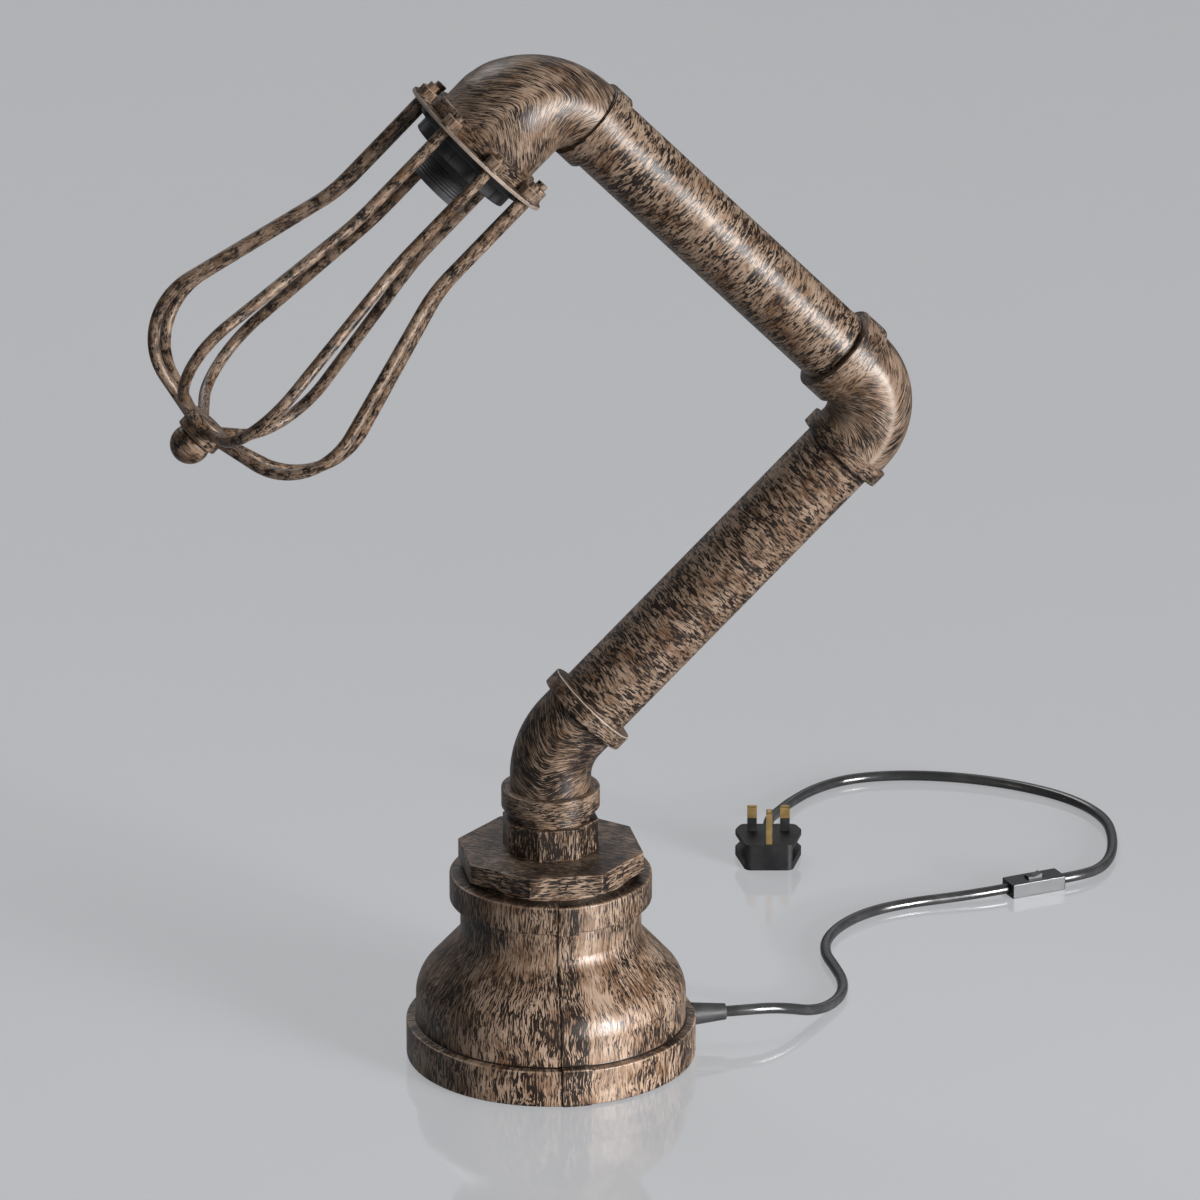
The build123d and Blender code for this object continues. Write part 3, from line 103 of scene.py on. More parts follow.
class Shader:
    """A material's node tree, with short ways to add and feed nodes."""

    def __init__(self, name: str) -> None:
        """Starts a tree with a Principled shader on its output and the object's own coordinates.

        Args:
            name: Name of the material.
        """
        self.material = bpy.data.materials.new(name)
        self.material.use_nodes = True
        self.tree = self.material.node_tree
        self.tree.nodes.clear()
        self.surface = self.node("ShaderNodeBsdfPrincipled")
        self.node("ShaderNodeOutputMaterial", {"Surface": self.surface.outputs["BSDF"]})
        self.place = self.node("ShaderNodeTexCoord").outputs["Object"]

    def put(self, target: Socket, value: object) -> None:
        """Links a socket to an input, or sets a plain value on it.

        Args:
            target: The input.
            value: A socket or a plain value.
        """
        if isinstance(value, Socket):
            self.tree.links.new(value, target)
        else:
            target.default_value = value

    def set(self, **inputs: object) -> None:
        """Feeds the shader's own inputs; an underscore stands for a space."""
        for key, value in inputs.items():
            self.put(self.surface.inputs[key.replace("_", " ")], value)

    def node(self, kind: str, inputs: Mapping[object, object] | None = None, **settings: object) -> bpy.types.Node:
        """Adds a node.

        Args:
            kind: The node's type.
            inputs: Sockets or plain values for its inputs, by their names or numbers.
            settings: Its plain properties.

        Returns:
            The node.
        """
        made = self.tree.nodes.new(kind)
        for key, value in settings.items():
            setattr(made, key, value)
        for key, value in (inputs or {}).items():
            self.put(made.inputs[key], value)
        return made

    def noise(self, vector: Socket, size: float, detail: float, rough: float = 0.55, bend: float = 0.0) -> Socket:
        """Adds a noise pattern.

        Args:
            vector: Where the pattern is read.
            size: Size of a spot, in metres.
            detail: Octaves of finer pattern.
            rough: Strength of the finer octaves.
            bend: How much the pattern curls.

        Returns:
            The pattern's value, about 0.5 on average.
        """
        inputs = {"Vector": vector, "Scale": 1.0 / size, "Detail": detail, "Roughness": rough, "Distortion": bend}
        return self.node("ShaderNodeTexNoise", inputs).outputs["Fac"]

    def maths(self, way: str, *values: object) -> Socket:
        """Adds an operation on sockets or numbers."""
        return self.node("ShaderNodeMath", dict(enumerate(values)), operation=way).outputs[0]

    def vectors(self, way: str, *values: object) -> bpy.types.Node:
        """Adds an operation on vectors."""
        return self.node("ShaderNodeVectorMath", dict(enumerate(values)), operation=way)

    def spread(self, value: Socket, low: float, high: float, start: float = 0.0, stop: float = 1.0) -> Socket:
        """Eases a value from start to stop as it goes from low to high."""
        inputs = {"Value": value, "From Min": low, "From Max": high, "To Min": start, "To Max": stop}
        return self.node("ShaderNodeMapRange", inputs, interpolation_type="SMOOTHSTEP").outputs["Result"]

    def blend(self, share: Socket, first: Colour | Socket, second: Colour | Socket) -> Socket:
        """Mixes two colours.

        Args:
            share: Share of the second colour, from 0 to 1.
            first: A colour or a socket.
            second: A colour or a socket.

        Returns:
            The mixed colour.
        """
        made = self.node("ShaderNodeMix", {"Factor": share}, data_type="RGBA")
        targets = [socket for socket in made.inputs if socket.type == "RGBA"]
        for target, colour in zip(targets, (first, second)):
            self.put(target, colour if isinstance(colour, Socket) else (*colour, 1.0))
        return next(socket for socket in made.outputs if socket.type == "RGBA")

    def bump(self, height: Socket, depth: float, strength: float) -> None:
        """Raises the surface by a height pattern, depth metres from low to high."""
        made = self.node("ShaderNodeBump", {"Height": height, "Distance": depth, "Strength": strength})
        self.set(Normal=made.outputs["Normal"])


@dataclass(frozen=True)
class AgedBronze:
    """Brown-bronze paint brushed over black in short marks under satin lacquer, paler or darker by its wear_and_light
    value, which holds rubbing and grime and also painted highlights and painted shade.
    """

    name: str
    mark: float
    curl: float
    sway: Spot
    bare: float = 0.5
    soft: float = 0.025
    hair_size: float = 0.33
    hair_share: float = 0.22
    streak_size: float = 1.9
    streak_share: float = 0.5
    blotch_size: float = 0.026
    blotch: float = 0.5
    wear_and_light_share: float = 0.3
    drift: float = 0.02
    cloud: float = 0.019
    depth: float = 0.00012
    rough: float = 0.6
    pale: Colour = (0.425, 0.305, 0.22)
    deep: Colour = (0.17, 0.088, 0.042)
    black: Colour = (0.013, 0.0062, 0.0034)
    # Pale colour of rubbed metal, which also paints the highlights on the bell and on the middle elbow.
    rub_and_sheen: Colour = (0.6, 0.51, 0.44)

    def material(self) -> Material:
        """Builds the node material.

        Returns:
            The material.
        """
        shader = Shader(self.name)
        grain = shader.node("ShaderNodeAttribute", attribute_name="grain").outputs["Vector"]
        # wear_and_light holds rubbing and grime, and on some pieces painted highlights and painted shade.
        wear_and_light_level = shader.node("ShaderNodeAttribute", attribute_name="wear_and_light").outputs["Fac"]
        brush = self._swayed(shader, grain)
        height = shader.noise(brush, self.mark, 1.6, 0.5, self.curl)
        hairs = shader.noise(brush, self.mark * self.hair_size, 2.0, 0.6)
        streaks = shader.noise(brush, self.mark * self.streak_size, 2.0, 0.6, self.curl)
        blotches = shader.noise(shader.place, self.blotch_size, 2.0)
        for pattern, share in ((blotches, self.blotch), (hairs, self.hair_share), (streaks, self.streak_share)):
            height = shader.maths("MULTIPLY_ADD", shader.maths("SUBTRACT", pattern, 0.5), share, height)
        height = shader.maths("MULTIPLY_ADD", wear_and_light_level, self.wear_and_light_share, height)
        paint = shader.spread(height, self.bare - self.soft, self.bare + self.soft)
        cloud = shader.noise(shader.place, self.cloud, 3.0, 0.6)
        tone = shader.maths("MULTIPLY_ADD", cloud, 0.5, shader.maths("MULTIPLY", streaks, 0.5))
        bronze = shader.blend(shader.spread(tone, 0.38, 0.62), self.deep, self.pale)
        coat = shader.blend(paint, self.black, bronze)
        # Paler where the value is high: rubbing, and painted highlights.
        rub_and_sheen_mask = shader.spread(shader.maths("MULTIPLY", wear_and_light_level, shader.maths("ADD", hairs, 0.35)), 0.25, 0.7)
        shader.set(Base_Color=shader.blend(rub_and_sheen_mask, coat, self.rub_and_sheen),
                   Roughness=shader.spread(paint, 0.0, 1.0, self.rough - 0.04, self.rough),
                   Metallic=0.22, Specular_IOR_Level=0.25, Coat_Weight=0.65, Coat_Roughness=0.34, Coat_IOR=1.5)
        shader.bump(paint, self.depth, 0.6)
        return shader.material

    def _swayed(self, shader: Shader, grain: Socket) -> Socket:
        """Lets the marks drift to and fro.

        Args:
            shader: The material under work.
            grain: Where each point lies along and across the marks.

        Returns:
            The drifted coordinates.
        """
        inputs = {"Vector": shader.place, "Scale": 1.0 / self.drift, "Detail": 1.0}
        drift = shader.node("ShaderNodeTexNoise", inputs).outputs["Color"]
        centred = shader.vectors("SUBTRACT", drift, (0.5, 0.5, 0.5)).outputs[0]
        return shader.vectors("MULTIPLY_ADD", centred, self.sway, grain).outputs[0]


@dataclass(frozen=True, kw_only=True)
class Mottled:
    """A finish of two mottled tones over a fine relief."""

    name: str
    colour: Colour
    pale: Colour
    tones: Span = (0.35, 0.7)
    patch: float
    patch_grit: float = 0.6
    rough: Span
    gloss: Span = (0.3, 0.7)
    metallic: float = 0.0
    specular: float = 0.5
    grain: float
    grain_detail: float = 2.0
    grain_grit: float = 0.6
    stretch: Spot = (1.0, 1.0, 1.0)
    depth: float
    strength: float = 0.5

    def material(self) -> Material:
        """Builds the node material.

        Returns:
            The material.
        """
        shader = Shader(self.name)
        mottle = shader.noise(shader.place, self.patch, 4.0, self.patch_grit)
        drawn = shader.node("ShaderNodeMapping", {"Vector": shader.place, "Scale": self.stretch}).outputs["Vector"]
        shader.set(Roughness=shader.spread(mottle, *self.gloss, *self.rough), Metallic=self.metallic,
                   Specular_IOR_Level=self.specular)
        tone = shader.blend(shader.spread(mottle, *self.tones), self.colour, self.pale)
        shader.set(Base_Color=self._side_sheen(shader, tone))
        shader.bump(shader.noise(drawn, self.grain, self.grain_detail, self.grain_grit), self.depth, self.strength)
        return shader.material

    def _side_sheen(self, shader: Shader, tone: Socket) -> Socket:
        """Gives the colour of the surface; a plain one has no painted reflection on its sides."""
        return tone


@dataclass(frozen=True, kw_only=True)
class Moulding(Mottled):
    """Black moulded plastic with a fine grain and rubbed, slightly paler patches."""

    colour: Colour = (0.014, 0.014, 0.015)
    pale: Colour = (0.028, 0.028, 0.03)
    patch: float = 0.012
    grain: float = 0.0006
    depth: float = 0.00003


@dataclass(frozen=True, kw_only=True)
class SheenSidedMoulding(Moulding):
    """Black moulding whose two long sides carry a satin silver band, a painted reflection of the light on them."""

    centre: Spot = (0.3655, 0.2075, 0.0)
    facing: float = math.radians(14.6)
    reach: float = 0.0079
    soft: Span = (0.00006, 0.00002)
    sheen_colour: Colour = (0.19, 0.193, 0.2)
    sheen_metal: float = 0.25

    def _side_sheen(self, shader: Shader, tone: Socket) -> Socket:
        """Gives the colour with a painted reflection, a satin silver band, on both long sides, and makes that band
        metal.

        Args:
            shader: The material under work.
            tone: Colour of the plain moulding.

        Returns:
            The colour with the painted reflection.
        """
        offset = shader.vectors("SUBTRACT", shader.place, self.centre).outputs[0]
        sideways = (-math.sin(self.facing), math.cos(self.facing), 0.0)
        across = shader.maths("ABSOLUTE", shader.vectors("DOT_PRODUCT", offset, sideways).outputs["Value"])
        sheen_mask = shader.spread(across, self.reach - self.soft[0], self.reach + self.soft[1])
        shader.set(Metallic=shader.maths("MULTIPLY", sheen_mask, self.sheen_metal))
        return shader.blend(sheen_mask, tone, self.sheen_colour)


@dataclass(frozen=True, kw_only=True)
class BareMetal(Mottled):
    """Drawn or stamped metal with fine draw lines along one axis and a little tarnish."""

    tones: Span = (0.4, 0.75)
    patch: float = 0.006
    patch_grit: float = 0.65
    gloss: Span = (0.3, 0.8)
    metallic: float = 1.0
    grain: float = 0.0005
    grain_detail: float = 3.0
    stretch: Spot = (1.0, 1.0, 0.08)
    depth: float = 0.00003


@dataclass(frozen=True, kw_only=True)
class Sheath(Mottled):
    """Smooth black cord sheath with a faint waviness and dust-dulled patches."""

    colour: Colour = (0.032, 0.032, 0.033)
    pale: Colour = (0.06, 0.06, 0.062)
    tones: Span = (0.4, 0.75)
    patch: float = 0.02
    rough: Span = (0.14, 0.24)
    gloss: Span = (0.35, 0.75)
    specular: float = 0.95
    grain: float = 0.004
    grain_grit: float = 0.5
    depth: float = 0.0001
    strength: float = 0.25


@dataclass(frozen=True, kw_only=True)
class RoughCast(Mottled):
    """Felt, sheet steel or raw iron on the hidden faces: a matt ground whose relief follows its tones."""

    patch_grit: float = 0.7
    grain_detail: float = 4.0
    grain_grit: float = 0.7


@dataclass(frozen=True)
class StudioFloor:
    """Pale grey floor with a soft sheen that mirrors the foot of the lamp, or the backdrop behind it."""

    name: str = "studio_floor"
    colour: Colour = (0.26, 0.265, 0.279)
    shade: float = 0.97
    patch: float = 0.35
    light: Colour = (0.955, 0.972, 1.0)
    glow: float = 0.333
    mirrored: float = 0.2
    rough: float = 0.07
    rise: Span = (-2.0, -1.0)

    def material(self) -> Material:
        """Builds the node material, which is paler to the camera and in reflections than as a light.

        Returns:
            The material.
        """
        shader = Shader(self.name)
        cloud = shader.noise(shader.place, self.patch, 3.0)
        darker = tuple(value * self.shade for value in self.colour)
        rays = shader.node("ShaderNodeLightPath").outputs
        seen = shader.maths("MULTIPLY_ADD", rays["Is Glossy Ray"], self.mirrored, rays["Is Camera Ray"])
        height = shader.node("ShaderNodeSeparateXYZ", {0: shader.place}).outputs["Z"]
        lit = shader.spread(height, *self.rise, stop=self.glow)
        shader.set(Base_Color=shader.blend(shader.spread(cloud, 0.3, 0.7), self.colour, darker),
                   Emission_Color=(*self.light, 1.0), Emission_Strength=shader.maths("MULTIPLY", seen, lit),
                   Roughness=self.rough, Specular_IOR_Level=0.8)
        return shader.material


def add(name: str, data: bpy.types.ID) -> bpy.types.Object:
    """Adds an object to the scene.

    Args:
        name: Its name.
        data: Its mesh, curve, light or camera.

    Returns:
        The object.
    """
    made = bpy.data.objects.new(name, data)
    bpy.context.scene.collection.objects.link(made)
    return made


def point(seer: bpy.types.Object, place: Spot, aim: Spot) -> None:
    """Puts a camera or a light in its place and points it.

    Args:
        seer: The camera or the light.
        place: Where it stands.
        aim: What it looks at.
    """
    seer.location = place
    seer.rotation_mode = "QUATERNION"
    seer.rotation_quaternion = (Vector(aim) - Vector(place)).to_track_quat("-Z", "Y")


@dataclass(frozen=True)
class Corner:
    """A corner of a turned section: its radius, its height, its round, and its wear_and_light value from -1 to 1:
    above 0 paler from rubbing, below 0 darkened as painted shade.
    """

    radius: float
    height: float
    round: float = 0.0
    wear_and_light: float = 0.0

    @property
    def segments(self) -> int:
        """Faces across the round."""
        return 10 if self.round > WIDE_ROUND else 4

    def holds(self, spot: Vector) -> bool:
        """Tells whether a point lies on the ring that the corner turns."""
        off = math.hypot(spot.x, spot.y) - self.radius
        return abs(off) < TOUCHING and abs(spot.z - self.height) < TOUCHING


@dataclass(frozen=True)
class Seat:
    """Where a turned or swept piece sits: a point, the way its axis runs, and its side."""

    point: Vector
    way: Vector
    side: Vector = field(default_factory=lambda: Vector((0, 1, 0)))

    def at(self, reach: float) -> Vector:
        """Gives the point that lies reach metres along the axis."""
        return self.point + self.way * reach

    def lie(self) -> Matrix:
        """Gives the matrix that lays a piece's own axis on this line."""
        turn = Matrix((self.side, self.way.cross(self.side), self.way)).transposed().to_4x4()
        return Matrix.Translation(self.point) @ turn


class Stock:
    """A mesh under work, whose points carry the lay of the brush marks and one value for rubbing, grime, painted
    shade and painted highlights.
    """

    def __init__(self, squeeze: float = 0.12) -> None:
        """Starts with no points.

        Args:
            squeeze: Width of a brush mark as a share of its length.
        """
        self.squeeze = squeeze
        self.mesh = bmesh.new()
        self.grain = self.mesh.verts.layers.float_vector.new("grain")
        self.wear_and_light = self.mesh.verts.layers.float.new("wear_and_light")

    def close(self) -> None:
        """Fills open ends and turns every face outwards."""
        bmesh.ops.holes_fill(self.mesh, edges=[e for e in self.mesh.edges if e.is_boundary], sides=0)
        bmesh.ops.recalc_face_normals(self.mesh, faces=self.mesh.faces[:])

    def round_edges(self, edges: Sequence[Edge], offset: float, segments: int, wear_and_light: float) -> None:
        """Bevels edges, and gives the points inside the bevel their wear_and_light value: above 0 paler from rubbing,
        below 0 painted shade.

        Args:
            edges: The edges.
            offset: How far the bevel reaches from each edge.
            segments: Faces across the bevel.
            wear_and_light: Their value, above 0 rubbing and below 0 painted shade.
        """
        cut = bmesh.ops.bevel(self.mesh, geom=list(edges), offset=offset, offset_type="OFFSET", segments=segments,
                              profile=0.5, affect="EDGES", clamp_overlap=False, material=-1)
        faces = set(cut["faces"])
        for vert in cut["verts"]:
            if wear_and_light and all(face in faces for face in vert.link_faces):
                vert[self.wear_and_light] = wear_and_light

    def turn(self, corners: Sequence[Corner], steps: int = 144, arc: float = math.tau, start: float = 0.0) -> None:
        """Spins a closed section round the Z axis and rounds its corners.

        Args:
            corners: The section's corners in order, on one side of the axis.
            steps: Faces round the full turn or the arc.
            arc: Angle of the turn; less than a full one leaves end faces, which are filled.
            start: Angle at which the section starts.
        """
        turned = Matrix.Rotation(start, 3, "Z")
        points = [self.mesh.verts.new(turned @ Vector((c.radius, 0, c.height))) for c in corners]
        edges = [self.mesh.edges.new(pair) for pair in zip(points, points[1:] + points[:1])]
        bmesh.ops.spin(self.mesh, geom=points + edges, cent=ORIGIN, axis=UP, dvec=ORIGIN, angle=arc, steps=steps,
                       use_merge=arc > math.tau - TOUCHING, use_duplicate=False)
        bmesh.ops.remove_doubles(self.mesh, verts=self.mesh.verts[:], dist=MERGED)
        for number, corner in enumerate(corners):
            if corner.round <= 0:
                continue
            before, after = corners[number - 1], corners[(number + 1) % len(corners)]
            first = Vector((corner.radius - before.radius, corner.height - before.height))
            second = Vector((after.radius - corner.radius, after.height - corner.height))
            offset = corner.round * math.tan(first.angle(second) / 2)
            rim = [e for e in self.mesh.edges if all(corner.holds(v.co) for v in e.verts)]
            self.round_edges(rim, offset, corner.segments, corner.wear_and_light)
        self.close()

    def prism(self, sides: int, flats: float, span: Span, edge: float, wear_and_light: float, face: float = 0.0) -> None:
        """Makes a bar with wrench flats and eased edges.

        Args:
            sides: Number of flats.
            flats: Distance of a flat from the axis.
            span: Lower and upper end.
            edge: Width of the eased edges.
            wear_and_light: Wear of the edges.
            face: Angle that the first flat faces.
        """
        bottom, top = span
        half = math.pi / sides
        lie = Matrix.Translation((0, 0, bottom)) @ Matrix.Rotation(face + half, 4, "Z")
        ring = bmesh.ops.create_circle(self.mesh, cap_ends=True, radius=flats / math.cos(half), segments=sides,
                                       matrix=lie)["verts"]
        floor = list({f for v in ring for f in v.link_faces})
        raised = bmesh.ops.extrude_face_region(self.mesh, geom=floor, use_keep_orig=True)["geom"]
        lifted = [g for g in raised if isinstance(g, Vert)]
        bmesh.ops.translate(self.mesh, verts=lifted, vec=(0, 0, top - bottom))
        around = {e for v in ring + lifted for e in v.link_edges}
        self.close()
        self.round_edges(sorted(around, key=lambda e: e.index), edge, 4, wear_and_light)

    def brush(self, lay: Lay, radius: float) -> None:
        """Lays the brush marks on turned points.

        Args:
            lay: Which way the marks run.
            radius: Radius at which the marks have their true width.
        """
        around, along = (self.squeeze, 1.0) if lay is Lay.ROUND else (1.0, self.squeeze)
        for vert in self.mesh.verts:
            spot = vert.co
            reach = math.hypot(spot.x, spot.y)
            angle = math.atan2(spot.y, spot.x)
            vert[self.grain] = (around * radius * math.cos(angle), around * radius * math.sin(angle),
                                along * (spot.z - reach))

    def brush_flat(self, slope: float = 0.0, rim: float = 0.0004) -> None:
        """Lays straight marks over the faces that are square to the axis.

        Args:
            slope: Angle of the marks.
            rim: Width of the rim that keeps the marks of the sides.
        """
        faces = [f for f in self.mesh.faces if abs(f.normal.z) > SQUARE]
        bmesh.ops.inset_individual(self.mesh, faces=faces, thickness=rim)
        turned = Matrix.Rotation(-slope, 3, "Z")
        for vert in {v for face in faces for v in face.verts}:
            spot = turned @ vert.co
            vert[self.grain] = (spot.x * self.squeeze, spot.y, spot.z)

    def weather_and_shade(self, share: float) -> None:
        """Gives every point that has no value of its own the same share of it; on the rib that share is painted
        shade.
        """
        for vert in self.mesh.verts:
            vert[self.wear_and_light] = vert[self.wear_and_light] or share

    def place(self, seat: Matrix) -> None:
        """Moves the whole mesh onto its seat."""
        bmesh.ops.transform(self.mesh, matrix=seat, verts=self.mesh.verts[:])

    def take(self, other: "Stock") -> None:
        """Adds another mesh to this one.

        Args:
            other: The mesh, which is used up.
        """
        spare = bpy.data.meshes.new("spare")
        other.mesh.to_mesh(spare)
        self.mesh.from_mesh(spare)
        bpy.data.meshes.remove(spare)
        other.mesh.free()

    def finish(self, name: str, body: Body, material: Material, node: str) -> None:
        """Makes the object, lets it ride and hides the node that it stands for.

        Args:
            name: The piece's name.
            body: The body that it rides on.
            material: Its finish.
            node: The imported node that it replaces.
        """
        mesh = bpy.data.meshes.new(name)
        for face in self.mesh.faces:
            face.smooth = True
        self.mesh.to_mesh(mesh)
        self.mesh.free()
        mesh.set_sharp_from_angle(angle=CREASE)
        mesh.materials.append(material)
        made = add(name, mesh)
        made.modifiers.new("even_shading", "WEIGHTED_NORMAL").keep_sharp = True
        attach(made, body.value)
        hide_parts(node)
        log.info("%s: %d faces, on %s", name, len(mesh.polygons), body.value)


@dataclass(frozen=True)
class Fishbone:
    """Marks that lean back to both sides of a spine along the flank of a bend."""

    slant: float = 0.75
    spine: float = math.radians(68)
    soft: float = 0.12
    # Pale spine: the fitting's own pattern, and on the middle elbow a painted highlight.
    rub_and_sheen: float = 0.2
    width: float = 0.14
    ground: float = 0.0

    def _off(self, outward: float) -> float:
        """Gives a point's angle from the spine, for its share outwards of the bend from -1 to 1."""
        return math.acos(max(-1.0, min(1.0, outward))) - self.spine

    def lean(self, outward: float) -> float:
        """Gives how far a mark lies back at that share outwards."""
        return -self.slant * math.hypot(self._off(outward), self.soft)

    def wear_and_light(self, outward: float) -> float:
        """Gives the wear_and_light value there, which is greatest on the spine."""
        return self.ground + self.rub_and_sheen * math.exp(-((self._off(outward) / self.width) ** 2))


class Rod(Stock):
    """A round bar or tube that runs along a flat path of straight runs and rounds, in its own XZ plane."""

    def __init__(self, radius: float, segments: int, lay: Lay, squeeze: float, shift: float = 0.0) -> None:
        """Keeps the section's size and the lay of the marks.

        Args:
            radius: Radius of the bar.
            segments: Faces round it.
            lay: Which way the marks run.
            squeeze: Width of a brush mark as a share of its length.
            shift: Offset of the pattern, so that like bars differ.
        """
        super().__init__(squeeze)
        self.radius, self.segments, self.shift = radius, segments, shift
        self.around, self.along = (squeeze, 1.0) if lay is Lay.ROUND else (1.0, squeeze)
        self.run = 0.0
        self.outward = self.mesh.verts.layers.float.new("outward")

    def _mark(self, verts: Sequence[Vert]) -> None:
        """Sets the run of a new ring; its place round the bar is copied from the ring before."""
        for vert in verts:
            vert[self.grain] = (*vert[self.grain][:2], self.along * (self.run + self.shift))

    def comb(self, bones: Fishbone) -> None:
        """Leans the marks back from a spine on each flank.

        Args:
            bones: How the marks lean.
        """
        for vert in self.mesh.verts:
            across, beside, run = vert[self.grain]
            vert[self.grain] = (across, beside, run + self.radius * bones.lean(vert[self.outward]))
            vert[self.wear_and_light] = bones.wear_and_light(vert[self.outward])

    def sweep(self, path: Sequence[Span], rounds: Sequence[float], step: float = math.radians(4)) -> None:
        """Runs the section along the path.

        Args:
            path: Corners of the path, as (X, Z).
            rounds: Bend radius at each inner corner.
            step: Turn of one face round a bend.
        """
        spots = [Vector((x, 0, z)) for x, z in path]
        ways = [(b - a).normalized() for a, b in zip(spots, spots[1:])]
        here = spots[0]
        lie = Matrix.Translation(here) @ ways[0].to_track_quat("Z", "Y").to_matrix().to_4x4()
        ring = bmesh.ops.create_circle(self.mesh, cap_ends=False, radius=self.radius, segments=self.segments,
                                       matrix=lie)["verts"]
        away = (ways[0] - ways[1]).normalized()
        away = (away - ways[0] * away.dot(ways[0])).normalized()
        for vert in ring:
            out = vert.co - here
            vert[self.grain] = (self.around * out.dot(away), self.around * out.y, 0)
            vert[self.outward] = out.dot(away) / self.radius
        self._mark(ring)
        for corner, before, after, bend in zip(spots[1:], ways, ways[1:], rounds):
            angle = before.angle(after)
            reach = bend * math.tan(angle / 2)
            stop = corner - before * reach
            ring = self._draw(ring, stop - here)
            axis = before.cross(after).normalized()
            centre = stop + axis.cross(before) * bend
            count = max(2, math.ceil(angle / step))
            for _ in range(count):
                spun = bmesh.ops.spin(self.mesh, geom=self._edges(ring), cent=centre, axis=axis, dvec=ORIGIN,
                                      angle=angle / count, steps=1)
                ring = [g for g in spun["geom_last"] if isinstance(g, Vert)]
                self.run += bend * angle / count
                self._mark(ring)
            here = corner + after * reach
        self._draw(ring, spots[-1] - here)
        self.close()

    @staticmethod
    def _edges(ring: Sequence[Vert]) -> list[Edge]:
        """Gives the edges that join the points of a ring."""
        known = set(ring)
        return list({e for v in ring for e in v.link_edges if e.other_vert(v) in known})

    def _draw(self, ring: Sequence[Vert], way: Vector) -> list[Vert]:
        """Draws a ring out in a straight run.

        Args:
            ring: The ring's points.
            way: How far it is drawn, and which way.

        Returns:
            The points of the new ring.
        """
        drawn = bmesh.ops.extrude_edge_only(self.mesh, edges=self._edges(ring))["geom"]
        fresh = [g for g in drawn if isinstance(g, Vert)]
        bmesh.ops.translate(self.mesh, verts=fresh, vec=way)
        self.run += way.length
        self._mark(fresh)
        return fresh


def ring_of(inner: float, outer: float, span: Span, edges: Span = (0.0, 0.0), wear_and_light: Span = (0.0, 0.0),
            steps: int = 144, squeeze: float = 0.12) -> Stock:
    """Turns a plain ring, such as a pipe, a washer or a hub, with marks round it.

    Args:
        inner: Radius of its hole.
        outer: Radius of its rim.
        span: Near and far end along its axis.
        edges: Round of the near and of the far rim.
        wear_and_light: Wear of the near and of the far rim; below 0 it is painted shade.
        steps: Faces round it.
        squeeze: Width of a brush mark as a share of its length.

    Returns:
        The ring, on the Z axis.
    """
    made = Stock(squeeze)
    near, far = (Corner(outer, *corner) for corner in zip(span, edges, wear_and_light))
    made.turn([Corner(inner, span[0]), near, far, Corner(inner, span[1])], steps)
    made.brush(Lay.ROUND, outer)
    return made


@dataclass(frozen=True)
class Mouth:
    """The banded mouth of a fitting: its seat, its bore, the band's rim, span, edges and far wear_and_light value,
    which is painted shade when below 0, and its depth.
    """

    seat: Seat
    bore: float
    rim: float
    span: Span
    wear_and_light: float = 0.0
    depth: float = 0.004
    edge: float = 0.0007

    def band(self) -> Stock:
        """Makes the raised band.

        Returns:
            The band, in its place.
        """
        made = ring_of(self.bore, self.rim, self.span, (self.edge, self.edge), (0.0, self.wear_and_light))
        made.place(self.seat.lie())
        return made


@dataclass(frozen=True)
class Softbox:
    """An area light: its place, its aim, its width and height, its watts, and the angle that its grid lets out."""

    name: str
    place: Spot
    aim: Spot
    size: Span
    power: float
    spread: float = math.pi

    def hang(self) -> None:
        """Adds the light to the scene."""
        data = bpy.data.lights.new(self.name, "AREA")
        data.shape, data.size, data.size_y = "RECTANGLE", *self.size
        data.energy, data.spread = self.power, self.spread
        point(add(self.name, data), self.place, self.aim)


